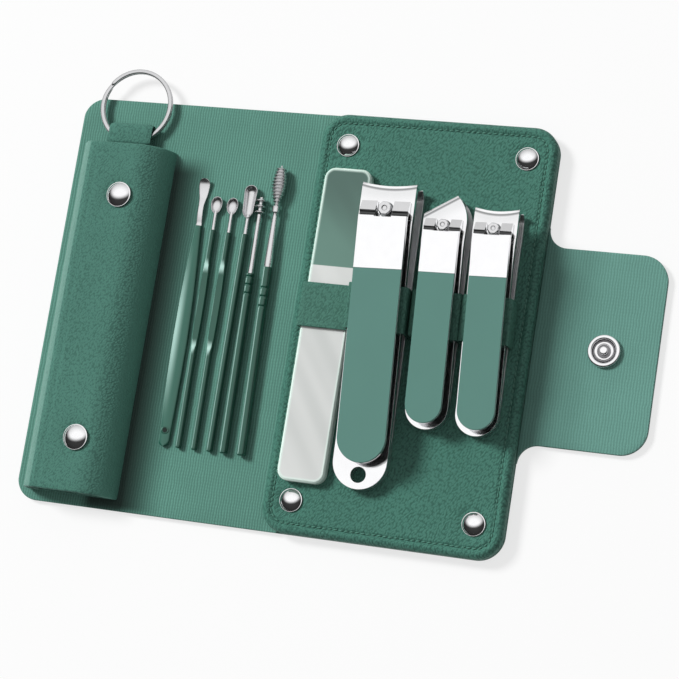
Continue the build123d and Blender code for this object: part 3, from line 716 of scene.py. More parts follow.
def rim_section(low: Array, high: Array, z0: float, z1: float, edge: float, across: int) -> tuple[Array, Array]:
    """The section of a sheet with eased edges, one ring for each station.

    Args:
        low: the lower side's y at each station.
        high: the upper side's y at each station.
        z0: the sheet's underside.
        z1: the sheet's top.
        edge: the radius of its eased edges.
        across: points across each face.

    Returns:
        y and z by station and by place round the ring: along the top, round the eased edge,
        back along the underside and round the other edge.
    """
    turn = np.linspace(np.pi / 2, -np.pi / 2, 7)
    half = (z1 - z0) / 2
    radius = min(edge, half)
    middle = (z0 + z1) / 2
    straight = half - radius
    round_y = radius * np.cos(turn)
    round_z = middle + radius * np.sin(turn) + straight * np.sign(np.sin(turn).round(6))
    share = np.linspace(0.0, 1.0, across)[1:-1]
    inner_low, inner_high = low + radius, high - radius
    top_y = inner_low[:, None] + (inner_high - inner_low)[:, None] * share
    right_y = inner_high[:, None] + round_y
    under_y = top_y[:, ::-1]
    left_y = inner_low[:, None] - round_y[::-1]
    rows = len(low)
    flat = np.ones((rows, len(share)))
    y = np.concatenate([top_y, right_y, under_y, left_y], 1)
    z = np.concatenate(
        [flat * z1, np.tile(round_z, (rows, 1)), flat * z0, np.tile(round_z[::-1], (rows, 1))], 1
    )
    return y, z


def sheet_mesh(
    name: str, stations: Array, low: Array, high: Array, z0: float, z1: float,
    edge: float = EDGE, ends: tuple[bool, bool] = (True, True), across: int = 26,
) -> bpy.types.Mesh:
    """A flat sheet of leather with eased edges, its sides given at stations along X.

    Args:
        name: the mesh's name.
        stations: x of each station.
        low: y of the lower side at each station.
        high: y of the upper side at each station.
        z0: its underside.
        z1: its top.
        edge: the radius of its eased edges.
        ends: whether the first and the last station's edges are eased too.
        across: points across each face.

    Returns:
        The mesh. Near an eased end the section thins as the root of one less the square.
    """
    y, z = rim_section(low, high, z0, z1, edge, across)
    middle = (z0 + z1) / 2
    first, last = stations - stations[0], stations[-1] - stations
    near = np.full(len(stations), 10.0)
    if ends[0]:
        near = np.minimum(near, first)
    if ends[1]:
        near = np.minimum(near, last)
    share = np.clip(near / edge, 0.0, 1.0)
    thin = 1.0 - (1.0 - np.sqrt(1.0 - (1.0 - share) ** 2)) * min(edge / ((z1 - z0) / 2), 1.0)
    z = middle + (z - middle) * thin[:, None]
    return loft(name, stack(stations[:, None], y, z))


def drilled(mesh: bpy.types.Mesh, x: float, radius: float, depth: float) -> bpy.types.Mesh:
    """Cuts a round recess into the underside of a sheet that lies on the table.

    Args:
        mesh: the sheet.
        x: the recess's centre on the X axis.
        radius: its radius.
        depth: its depth.

    Returns:
        The mesh with the recess.
    """
    profile = np.array([[radius, -1.0], [radius, depth]])
    cutter = bpy.data.objects.new("cutter", loft("cutter", round_profile(profile, 72, (x, 0.0))))
    sheet = bpy.data.objects.new("sheet", mesh)
    for made in (cutter, sheet):
        bpy.context.scene.collection.objects.link(made)
    cut = sheet.modifiers.new("recess", "BOOLEAN")
    cut.operation, cut.solver, cut.object = "DIFFERENCE", "EXACT", cutter
    shown = sheet.evaluated_get(bpy.context.evaluated_depsgraph_get())
    done = bpy.data.meshes.new_from_object(shown)
    for made in (cutter, sheet):
        spent = made.data
        bpy.data.objects.remove(made)
        bpy.data.meshes.remove(spent)
    return done


def eased_stations(x0: float, x1: float, count: int, edge: float = EDGE) -> Array:
    """Stations between two x, closer together at both ends for the eased edges."""
    ease = edge * (1 - np.cos(np.linspace(0, np.pi / 2, 5)))
    inner = np.linspace(x0 + edge, x1 - edge, count)[1:-1]
    return np.concatenate([x0 + ease, inner, x1 - ease[::-1]])


def round_profile(profile: Array, around: int = 64, centre: Sequence[float] = (0.0, 0.0)) -> Array:
    """Rings of a turned shape.

    Args:
        profile: (radius, z) pairs along its side, in millimetres.
        around: points round each ring.
        centre: x and y of its axis.

    Returns:
        The rings: each profile point swung about the axis by the cosine and sine of the angle.
    """
    angle = np.linspace(0, 2 * np.pi, around, endpoint=False)
    radius, z = profile[:, :1], profile[:, 1:]
    return stack(centre[0] + radius * np.cos(angle), centre[1] + radius * np.sin(angle), z)


def box_ring(
    half_x: Array, half_y: Array, corner: Array, per_side: int, per_corner: int
) -> tuple[Array, Array]:
    """Points round rounded rectangles, one ring for each set of sizes.

    Args:
        half_x: half widths.
        half_y: half heights.
        corner: corner radii.
        per_side: points along each side.
        per_corner: points round each corner.

    Returns:
        x and y by ring and place: the four corners' arcs, each followed by a straight side.
    """
    xs, ys = [], []
    signs = [(1, 1), (-1, 1), (-1, -1), (1, -1)]
    for index, (sx, sy) in enumerate(signs):
        angle = np.pi / 2 * index + np.linspace(0, np.pi / 2, per_corner)
        cx, cy = sx * (half_x - corner), sy * (half_y - corner)
        arc_x = cx[:, None] + corner[:, None] * np.cos(angle)
        arc_y = cy[:, None] + corner[:, None] * np.sin(angle)
        nx, ny = signs[(index + 1) % 4]
        turn = np.pi / 2 * (index + 1)
        end_x = nx * (half_x - corner) + corner * np.cos(turn)
        end_y = ny * (half_y - corner) + corner * np.sin(turn)
        share = np.linspace(0, 1, per_side + 2)[1:-1]
        xs += [arc_x, arc_x[:, -1:] + (end_x[:, None] - arc_x[:, -1:]) * share]
        ys += [arc_y, arc_y[:, -1:] + (end_y[:, None] - arc_y[:, -1:]) * share]
    return np.concatenate(xs, 1), np.concatenate(ys, 1)


def refined(
    node: str, material: bpy.types.Material, body: str, ease: float = 0.12, smooth: float = 32.0
) -> bpy.types.Object:
    """A hard piece that takes its shape from its CAD node, with eased edges.

    Args:
        node: the CAD node.
        material: its finish.
        body: the body that it rides on.
        ease: the width of its eased edges, in millimetres.
        smooth: edges sharper than this many degrees are eased.

    Returns:
        The piece: the node's triangles merged, flat faces joined, and a live Bevel.
    """
    mesh = bpy.data.objects[node].data.copy()
    work = bmesh.new()
    work.from_mesh(mesh)
    bmesh.ops.remove_doubles(work, verts=work.verts, dist=1e-6)
    bmesh.ops.dissolve_limit(
        work, angle_limit=np.radians(0.4), verts=work.verts, edges=work.edges, use_dissolve_boundaries=False
    )
    work.to_mesh(mesh)
    work.free()
    if "custom_normal" in mesh.attributes:
        mesh.attributes.remove(mesh.attributes["custom_normal"])
    mesh.materials.clear()
    mesh.materials.append(material)
    mesh.polygons.foreach_set("use_smooth", np.ones(len(mesh.polygons), bool))
    mesh.set_sharp_from_angle(angle=np.radians(smooth))
    made = bpy.data.objects.new(node + "_finished", mesh)
    bpy.context.scene.collection.objects.link(made)
    bevel = made.modifiers.new("eased_edges", "BEVEL")
    bevel.width = ease * MM
    bevel.segments = 2
    bevel.limit_method = "ANGLE"
    bevel.angle_limit = np.radians(smooth)
    bevel.harden_normals = True
    bevel.use_clamp_overlap = True
    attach(made, body)
    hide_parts(node)
    return made


def set_out(piece: bpy.types.Object, body: str, slot: str, *nodes: str) -> bpy.types.Object:
    """Rides a new piece on its body, hides the nodes that it stands for, and logs it."""
    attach(piece, body)
    if nodes:
        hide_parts(*nodes)
    LOG.info("%s on %s: %d faces", piece.name, body, len(piece.data.polygons))
    return piece


# ---------------------------------------------------------------- the case


@dataclass
class Folder:
    """The case's flat leather: cover and lining of the leaf, the spine, the panel and the tab."""

    finishes: Finishes
    height: float = 115.0
    left: float = -105.3
    fold_b: float = -39.2
    fold_a: float = -33.2
    right: float = 32.8
    cover: float = 0.9
    lining: float = 0.6
    corner: float = 6.0
    panel_corner: float = 7.0
    tab_width: float = 52.4
    tab_fillet: float = 5.2
    tab_corner: float = 7.0
    tab_end: float = 65.6
    fold_reach: float = 1.5
    cap: tuple[float, float, float] = (51.7, 4.72, 0.5)
    socket: tuple[float, float, float] = (-95.8, 4.32, 1.31)

    @property
    def spine_middle(self) -> float:
        """Where the leaf's leather meets the panel's, halfway across the spine."""
        return (self.fold_a + self.fold_b) / 2

    @property
    def fold_z(self) -> float:
        """The height of the folds, on top of the lining, in metres."""
        return (self.cover + self.lining) * MM

    def sides(self, x: Array, corner_left: float, corner_right: float, x0: float, x1: float) -> Array:
        """Half the sheet's height at each station.

        Args:
            x: the stations.
            corner_left: the radius of the left corners.
            corner_right: the radius of the right corners.
            x0: the left end.
            x1: the right end.

        Returns:
            The half height less a quarter circle's fall near each rounded end.
        """
        half = np.full(len(x), self.height / 2)
        for radius, near in ((corner_left, x - x0), (corner_right, x1 - x)):
            if radius:
                inside = np.clip(radius - near, 0.0, radius)
                half -= radius - np.sqrt(np.maximum(radius**2 - inside**2, 0.0))
        return half

    def corner_stations(self, x0: float, x1: float, left: float, right: float, folds: Sequence[float]) -> Array:
        """Stations that crowd together in the rounded corners and at the folds."""
        parts = [eased_stations(x0, x1, 44)]
        for radius, end, sign in ((left, x0, 1), (right, x1, -1)):
            if radius:
                parts.append(end + sign * radius * (1 - np.cos(np.linspace(0.02, np.pi / 2, 18))))
        for fold in folds:
            parts.append(np.linspace(fold - self.fold_reach, fold + self.fold_reach, 13))
        merged = np.unique(np.concatenate(parts).round(3))
        return merged[(merged >= x0) & (merged <= x1)]

    def leaf_sheet(self, name: str, z0: float, z1: float, material: bpy.types.Material) -> bpy.types.Object:
        """One layer of the left leaf, carried over the fold to the middle of the spine."""
        x = self.corner_stations(self.left, self.spine_middle, self.corner, 0.0, [self.fold_b])
        half = self.sides(x, self.corner, 0.0, self.left, self.spine_middle)
        mesh = sheet_mesh(name, x, -half, half, z0, z1, ends=(True, False))
        made = make_piece(name, drilled(mesh, *self.socket), material)
        self.fold_z
        self.fold_z
        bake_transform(made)
        return made

    def spine_sheet(
        self, name: str, x1: float, z0: float, z1: float, corner: float, material: bpy.types.Material
    ) -> bpy.types.Object:
        """One layer from the middle of the spine, over the fold beside the panel, to x1.

        A layer without a corner of its own runs on round the panel's two rounded corners: there
        its inner side is the corner's arc.
        """
        x = self.corner_stations(self.spine_middle, x1, 0.0, corner, [self.fold_a])
        half = self.sides(x, 0.0, corner, self.spine_middle, x1)
        mesh = sheet_mesh(name, x, -half, half, z0, z1, ends=(False, bool(corner)))
        if not corner:
            x = np.linspace(x1 - 0.02, x1 + 0.62 * self.panel_corner, 20)
            arc = self.height / 2 + 0.04 - self.panel_corner
            arc = arc + np.sqrt(self.panel_corner**2 - (x1 + self.panel_corner - x) ** 2 + 0.3)
            top = np.full(len(x), self.height / 2)
            work = bmesh.new()
            work.from_mesh(mesh)
            for low, high in ((arc, top), (-top, -arc)):
                sliver = sheet_mesh(name, x, low, high, z0, z1, edge=0.1, ends=(False, False), across=6)
                work.from_mesh(sliver)
                bpy.data.meshes.remove(sliver)
            work.to_mesh(mesh)
            work.free()
        made = make_piece(name, mesh, material)
        self.fold_z
        self.fold_z
        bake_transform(made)
        return made

    def tab_sheet(self, name: str, z0: float, z1: float, material: bpy.types.Material) -> bpy.types.Object:
        """One layer of the closing tab, flared into the panel's edge and rounded at its corners."""
        x0 = self.right + 0.12
        parts = [
            eased_stations(x0, self.tab_end, 30),
            x0 + self.tab_fillet * (1 - np.cos(np.linspace(0.02, np.pi / 2, 14))),
            self.tab_end - self.tab_corner * (1 - np.cos(np.linspace(0.02, np.pi / 2, 18))),
        ]
        x = np.unique(np.concatenate(parts).round(3))
        half = np.full(len(x), self.tab_width / 2)
        flare = np.clip(self.tab_fillet - (x - x0), 0, self.tab_fillet)
        half += self.tab_fillet - np.sqrt(np.maximum(self.tab_fillet**2 - flare**2, 0))
        fall = np.clip(self.tab_corner - (self.tab_end - x), 0, self.tab_corner)
        half -= self.tab_corner - np.sqrt(np.maximum(self.tab_corner**2 - fall**2, 0))
        mesh = sheet_mesh(name, x, -half, half, z0, z1, ends=(False, True))
        made = make_piece(name, drilled(mesh, *self.cap), material)
        self.fold_z
        self.fold_z
        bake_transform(made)
        return made

    def build(self) -> None:
        """Builds every sheet and hides the nodes that each stands for."""
        top = self.cover + self.lining
        skin, lining = self.finishes.skin, self.finishes.lining
        pieces = [
            (self.leaf_sheet("leaf_outer", 0.0, self.cover, skin), "cover_leather", ("leaf_cover",)),
            (self.leaf_sheet("leaf_inner", self.cover, top, lining), "lining_leather", ("leaf_lining",)),
            (
                self.spine_sheet("spine_and_panel_outer", self.right, 0.0, self.cover, self.panel_corner, skin),
                "cover_leather", ("spine_cover", "panel_cover"),
            ),
            (
                self.spine_sheet("spine_inner", -self.right - 0.08, self.cover, top, 0.0, lining),
                "lining_leather", ("spine_lining",),
            ),
            (self.tab_sheet("tab_outer", 0.0, self.cover, skin), "cover_leather", ("tab_cover",)),
            (
                self.tab_sheet("tab_inner", self.cover, top, self.finishes.tab_lining),
                "lining_leather", ("tab_lining",),
            ),
        ]
        for piece, slot, nodes in pieces:
            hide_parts(*nodes)
            LOG.info("%s: %d faces", piece.name, len(piece.data.polygons))


@dataclass
class Panel:
    """The padded panel: drawn leather with a rolled edge, a sewn channel and four rivets."""

    finishes: Finishes
    half_x: float = 32.8
    half_y: float = 57.5
    corner: float = 7.0
    bottom: float = 0.9
    top: float = 4.4
    roll: float = 1.4
    bead: float = 0.2
    seam: float = 2.7
    seam_depth: float = 0.28
    stitch: float = 1.5
    thread: float = 0.42
    rivets: tuple[float, float] = (24.9, 48.6)
    rivet_radius: float = 3.1

    def edge_height(self, inset: Array) -> Array:
        """Height of the panel's top at a distance in from its outline.

        Args:
            inset: the distance, in millimetres.

        Returns:
            The rolled quarter circle, then a low bead, then the sewn channel (both bell curves).
        """
        inside = np.clip(self.roll - inset, 0.0, self.roll)
        rolled = self.top - self.roll + np.sqrt(np.maximum(self.roll**2 - inside**2, 0.0))
        bead = self.bead * np.exp(-(((inset - 1.5) / 0.62) ** 2))
        channel = self.seam_depth * np.exp(-(((inset - self.seam) / 0.42) ** 2))
        return rolled + bead - channel

    def pad(self) -> bpy.types.Object:
        """The drawn leather: rings from under the edge, over the roll and in to the middle.

        Each ring is the outline moved inwards; its height is the edge's height less a soft
        dimple round each rivet that falls off with the distance beyond the cap.
        """
        roll = self.roll * (1 - np.cos(np.linspace(0.0, np.pi / 2, 9)))
        near = np.arange(1.55, 4.4, 0.14)
        far = np.concatenate([np.arange(4.6, 14.0, 0.62), np.linspace(14.5, self.half_x - 0.02, 14)])
        inset = np.concatenate([[0.3, 0.06, 0.0], roll, near, far])
        z = np.concatenate([[self.bottom, self.bottom + 0.12, self.bottom + 0.5], self.edge_height(inset[3:])])
        corner = np.maximum(self.corner - inset, 0.0)
        x, y = box_ring(self.half_x - inset, self.half_y - inset, corner, 56, 14)
        height = np.repeat(z[:, None], x.shape[1], 1)
        for sx in (-1, 1):
            for sy in (-1, 1):
                away = np.hypot(x - sx * self.rivets[0], y - sy * self.rivets[1])
                dip = 0.3 * np.exp(-((np.maximum(away - self.rivet_radius, 0.0) / 1.5) ** 2))
                height -= np.where(inset[:, None] > 3.0, dip, 0.0)
        made = make_piece("padded_panel", loft("padded_panel", stack(x, y, height)), self.finishes.skin)
        set_out(made, "panel_leaf", "grained_leather", "panel_skin")
        return made

    def seam_line(self) -> tuple[Array, Array, Array]:
        """Centres of the stitches round the panel and the direction of each, evenly spaced."""
        half_x, half_y = np.array([self.half_x - self.seam]), np.array([self.half_y - self.seam])
        x, y = box_ring(half_x, half_y, np.array([self.corner - self.seam]), 60, 24)
        x, y = np.append(x[0], x[0][0]), np.append(y[0], y[0][0])
        run = np.concatenate([[0.0], np.cumsum(np.hypot(np.diff(x), np.diff(y)))])
        count = int(run[-1] / self.stitch)
        at = (np.arange(count) + 0.5) * run[-1] / count
        px, py = np.interp(at, run, x), np.interp(at, run, y)
        qx, qy = np.interp(at + 0.05, run, x), np.interp(at + 0.05, run, y)
        return px, py, np.arctan2(qy - py, qx - px)

    def stitches(self) -> bpy.types.Object:
        """The sewing: one bowed thread for each stitch.

        A stitch is a tube whose middle rises above the channel by the sine of its run, and
        whose thickness shrinks to nothing at both ends.
        """
        px, py, heading = self.seam_line()
        rows, sides = 7, 8
        run = np.linspace(0, 1, rows)
        angle = np.linspace(0, 2 * np.pi, sides, endpoint=False)
        reach = (run - 0.5) * (self.stitch - 0.22)
        thick = self.thread / 2 * np.sqrt(np.maximum(np.sin(np.pi * run), 0.0)) + 0.02
        along = np.repeat(reach[:, None], sides, 1)
        side = thick[:, None] * np.cos(angle)
        rise = thick[:, None] * np.sin(angle) * 0.8 + 0.1 * np.sin(np.pi * run)[:, None]
        skew = heading + np.radians(9.0)
        x = px[:, None, None] + np.cos(skew)[:, None, None] * along - np.sin(skew)[:, None, None] * side
        y = py[:, None, None] + np.sin(skew)[:, None, None] * along + np.cos(skew)[:, None, None] * side
        floor = self.top - self.seam_depth + 0.1
        z = np.broadcast_to(floor + rise, x.shape)
        verts = stack(x, y, z).reshape(-1, 3)
        one = np.stack(np.meshgrid(np.arange(rows - 1), np.arange(sides), indexing="ij"), -1).reshape(-1, 2)
        a = one[:, 0] * sides + one[:, 1]
        b = one[:, 0] * sides + (one[:, 1] + 1) % sides
        faces = np.stack([a, b, b + sides, a + sides], 1)
        ends = np.stack([np.arange(sides)[::-1], np.arange(sides) + (rows - 1) * sides], 0)
        base = np.arange(len(px))[:, None, None] * rows * sides
        quads = (faces[None] + base).reshape(-1, 4).tolist()
        caps = (ends[None] + base).reshape(-1, sides).tolist()
        mesh = bpy.data.meshes.new("panel_stitches")
        mesh.from_pydata(verts.tolist(), [], quads + caps)
        made = make_piece("panel_stitches", mesh, self.finishes.thread, 80.0)
        return set_out(made, "panel_leaf", "grained_leather")

    def build(self) -> None:
        """Builds the pad, its sewing and its rivets."""
        self.pad()
        self.stitches()
        places = [(sx * self.rivets[0], sy * self.rivets[1]) for sx in (-1, 1) for sy in (-1, 1)]
        caps = rivet_caps("panel_rivets", places, self.top, self.rivet_radius, self.finishes.chrome)
        set_out(caps, "panel_leaf", "chromed_fittings", "panel_rivet_caps")


def rivet_caps(
    name: str, places: Sequence[tuple[float, float]], z: float, radius: float,
    material: bpy.types.Material,
) -> bpy.types.Object:
    """Domed rivet caps with a rolled rim.

    Args:
        name: the piece's name.
        places: x and y of each cap.
        z: the height that they stand on.
        radius: their radius.
        material: their finish.

    Returns:
        One piece: each cap turned about its own axis, its side a small roll under a spherical
        dome.
    """
    rise, roll = 1.45, 0.12
    across = radius - roll
    high = rise - roll
    ball = (across**2 + high**2) / (2 * high)
    swing = np.linspace(-np.pi / 2, 0.0, 6)
    rim = np.stack([across + roll * np.cos(swing), roll + roll * np.sin(swing)], 1)
    swing = np.linspace(np.arcsin(across / ball), 0.0, 18)
    dome = np.stack([ball * np.sin(swing), rise - ball + ball * np.cos(swing)], 1)
    profile = np.concatenate([[[0.0, 0.0]], rim, dome])
    profile[:, 1] += z
    shells = [round_profile(profile, 56, place) for place in places]
    return make_piece(name, joined(name, shells, cap=False), material, 60.0)


@dataclass
class Sleeve:
    """The sleeve on the left leaf, with its two rivets."""

    finishes: Finishes
    left: float = -101.7
    right: float = -75.1
    low: float = -54.6
    high: float = 43.3
    base: float = 1.5
    height: float = 8.0
    wall: float = 1.0
    fold: float = 6.0
    side: float = 10.0
    crease: float = 5.9
    rivet_x: float = -86.9
    rivet_y: tuple[float, float] = (28.4, -39.7)
    rivet_radius: float = 3.5
    dimple: float = 3.25

    def section(self, inset: float, places: int = 96) -> tuple[Array, Array]:
        """The sleeve's section at a distance in from its outer skin.

        Args:
            inset: the distance inwards.
            places: points round the section.

        Returns:
            x and z round the section: the base, the upright left side, its fold, the flat roof
            and the long curve down to the right, spaced evenly along the way.
        """
        x0, x1 = self.left + inset, self.right - inset
        z0, z1 = self.base + inset, self.base + self.height - inset
        fold, side = self.fold - inset, self.side - inset
        reach = np.sqrt(side**2 - (side - (z1 - z0)) ** 2)
        turn = np.linspace(np.pi, np.pi / 2, 12)
        fall = np.linspace(np.pi / 2, np.arcsin((side - (z1 - z0)) / side), 26)
        fold_x, fold_z = x0 + fold + fold * np.cos(turn), z1 - fold + fold * np.sin(turn)
        fall_x, fall_z = x1 - reach + side * np.cos(fall), z1 - side + side * np.sin(fall)
        xs = np.concatenate([[x1, x0, x0], fold_x, fall_x, [x1]])
        zs = np.concatenate([[z0, z0, z1 - fold], fold_z, fall_z, [z0]])
        run = np.concatenate([[0], np.cumsum(np.hypot(np.diff(xs), np.diff(zs)))])
        at = np.linspace(0, run[-1], places, endpoint=False)
        return np.interp(at, run, xs), np.interp(at, run, zs)

    def skin(self) -> bpy.types.Object:
        """The leather tube: outer skin up the sleeve, a rounded lip, and the inner skin back.

        The roof sags by a product of two sines, dimples round each rivet and is creased, a bell
        curve deep, beside its left fold.
        """
        outer, inner = self.section(0.0), self.section(self.wall)
        swing = np.linspace(0, np.pi, 7)[1:-1]
        along = np.linspace(self.low + 0.5, self.high - 0.5, 72)
        outside, inside = np.zeros(len(along)), np.ones(len(along))
        share = np.concatenate([outside, (1 - np.cos(swing)) / 2, inside, (1 + np.cos(swing)) / 2])
        lip = 0.5 * np.sin(swing)
        y = np.concatenate([along, self.high - 0.5 + lip, along[::-1], self.low + 0.5 - lip])
        x = outer[0] + (inner[0] - outer[0]) * share[:, None]
        z = outer[1] + (inner[1] - outer[1]) * share[:, None]
        up = np.clip((z - self.base - 4.0) / 4.0, 0.0, 1.0)
        over = np.clip((x - self.left) / (self.right - self.left), 0.0, 1.0)
        far = (y - self.low) / (self.high - self.low)
        sag = 0.28 * np.sin(np.pi * over) * (0.75 + 0.25 * np.sin(far * 9.0))[:, None]
        crease = 0.26 * np.exp(-(((x - self.left - self.crease) / 0.45) ** 2))
        height = z - (sag + crease) * up
        for ry in self.rivet_y:
            away = np.hypot(x - self.rivet_x, y[:, None] - ry)
            height -= up * 0.3 * np.exp(-((np.maximum(away - self.dimple, 0.0) / 1.6) ** 2))
        rings = stack(x, y[:, None], height)
        made = make_piece("sleeve_skin", loft("sleeve_skin", rings, loop=True), self.finishes.sleeve, 50.0)
        return set_out(made, "sleeve_leaf", "grained_leather", "sleeve")

    def build(self) -> None:
        """Builds the sleeve and its rivets."""
        self.skin()
        places = [(self.rivet_x, y) for y in self.rivet_y]
        roof = self.base + self.height - 0.05
        caps = rivet_caps("sleeve_rivets", places, roof, self.rivet_radius, self.finishes.chrome)
        set_out(caps, "sleeve_leaf", "chromed_fittings", "sleeve_rivet_caps")


@dataclass
class RingLoop:
    """The leather loop and the split ring that hangs in it."""

    finishes: Finishes
    left: float = -95.5
    width: float = 13.0
    start: float = 43.6
    reach: float = 6.4
    root: float = 35.3
    mouth: float = 43.3
    middle: float = 3.3
    thick: float = 0.8
    channel: float = 0.9
    ring_radius: float = 10.15
    gap_at: float = 147.0
    centre: tuple[float, float] = (-89.0, 55.45)

    def strip(self) -> bpy.types.Object:
        """The folded strip: out along the lower run, round the bend and back along the upper.

        The section is a flat bar with eased edges, carried across the loop's width; the path's
        height opens from the sewn root to the channel by a smooth step.
        """
        bend_y = self.start + self.reach - self.channel - self.thick / 2
        run = np.linspace(self.start - 0.25, bend_y, 26)
        t = np.clip((run - self.start) / 1.4, 0, 1)
        lift = self.thick / 2 + self.channel * (t * t * (3 - 2 * t))
        swing = np.linspace(-np.pi / 2, np.pi / 2, 15)[1:-1]
        top = lift[-1]
        y = np.concatenate([run, bend_y + top * np.cos(swing), run[::-1]])
        z = np.concatenate([self.middle - lift, self.middle + top * np.sin(swing), self.middle + lift[::-1]])
        dy, dz = np.gradient(y), np.gradient(z)
        size = np.hypot(dy, dz)
        ny, nz = -dz / size, dy / size
        half = self.thick / 2
        sx = np.concatenate([np.linspace(0, 1, 12), np.linspace(1, 0, 12)])
        edge = np.minimum(np.minimum(sx, 1 - sx) * self.width, half)
        deep = np.sqrt(np.maximum(half**2 - (half - edge) ** 2, 0.0)) * 0.999 + 0.001
        deep = deep * np.concatenate([np.ones(12), -np.ones(12)])
        x = np.broadcast_to(self.left + sx * self.width, (len(y), len(sx)))
        rings = stack(x, y[:, None] + ny[:, None] * deep, z[:, None] + nz[:, None] * deep)
        made = make_piece("loop_strip", loft("loop_strip", rings), self.finishes.sleeve, 50.0)
        return set_out(made, "ring_flap", "grained_leather", "ring_loop")

    def ring(self) -> bpy.types.Object:
        """The split ring: a flattened wire wound twice, its two ends stepped past each other.

        The path is a helix of two turns that climbs only near its middle; its section is an oval.
        """
        turns = np.linspace(0.0, 2.0, 260)
        angle = np.radians(self.gap_at) + 2 * np.pi * turns
        climb = np.clip((turns - 0.93) / 0.14, 0, 1)
        climb = climb * climb * (3 - 2 * climb)
        level = self.middle + 0.375 * (2 * climb - 1)
        swing = np.linspace(0, 2 * np.pi, 14, endpoint=False)
        end = np.minimum(turns, 2.0 - turns) / 0.012
        taper = np.sqrt(np.clip(end, 0.02, 1.0))
        out = 0.62 * np.sign(np.cos(swing)) * np.abs(np.cos(swing)) ** 0.8
        up = 0.36 * np.sign(np.sin(swing)) * np.abs(np.sin(swing)) ** 0.8
        radius = self.ring_radius + taper[:, None] * out
        x = self.centre[0] + radius * np.cos(angle)[:, None]
        y = self.centre[1] + radius * np.sin(angle)[:, None]
        z = level[:, None] + taper[:, None] * up
        made = make_piece("split_ring_coil", loft("split_ring_coil", stack(x, y, z)), self.finishes.wire, 60.0)
        return set_out(made, "ring_flap", "chromed_fittings", "split_ring")

    def sewn_root(self) -> bpy.types.Object:
        """The strip's two plies inside the sleeve's mouth, pressed together.

        Stations run along the loop; the section is a flat bar with eased edges, and the groove
        between the plies is the thickness less a narrow bell curve at each side.
        """
        along = eased_stations(self.root, self.mouth, 16)
        turn = np.linspace(np.pi / 2, -np.pi / 2, 9)
        round_x = self.thick / 2 * np.cos(turn)
        ply_x = np.concatenate([round_x, round_x])
        ply_z = self.thick / 2 * np.concatenate([np.sin(turn) + 1.0, np.sin(turn) - 1.0]) * 0.99
        left = self.left + self.thick / 2 - ply_x[::-1]
        right = self.left + self.width - self.thick / 2 + ply_x
        share = np.linspace(0, 1, 12)[1:-1]
        top = left[-1] + (right[0] - left[-1]) * share
        x = np.concatenate([top, right, top[::-1], left])
        z = np.concatenate([np.full(10, self.thick), ply_z, np.full(10, -self.thick), ply_z[::-1]])
        rings = stack(x[None, :], along[:, None], (self.middle + z)[None, :])
        made = make_piece("loop_root_strip", loft("loop_root_strip", rings), self.finishes.sleeve, 50.0)
        return set_out(made, "sleeve_leaf", "grained_leather", "ring_loop_root")

    def build(self) -> None:
        """Builds the loop, its sewn root and its ring."""
        self.strip()
        self.sewn_root()
        self.ring()


@dataclass(frozen=True)
class Tunnel:
    """A space under the strap: its sides, and its top at the strap's lower and upper edge."""

    left: float
    right: float
    near: float
    far: float


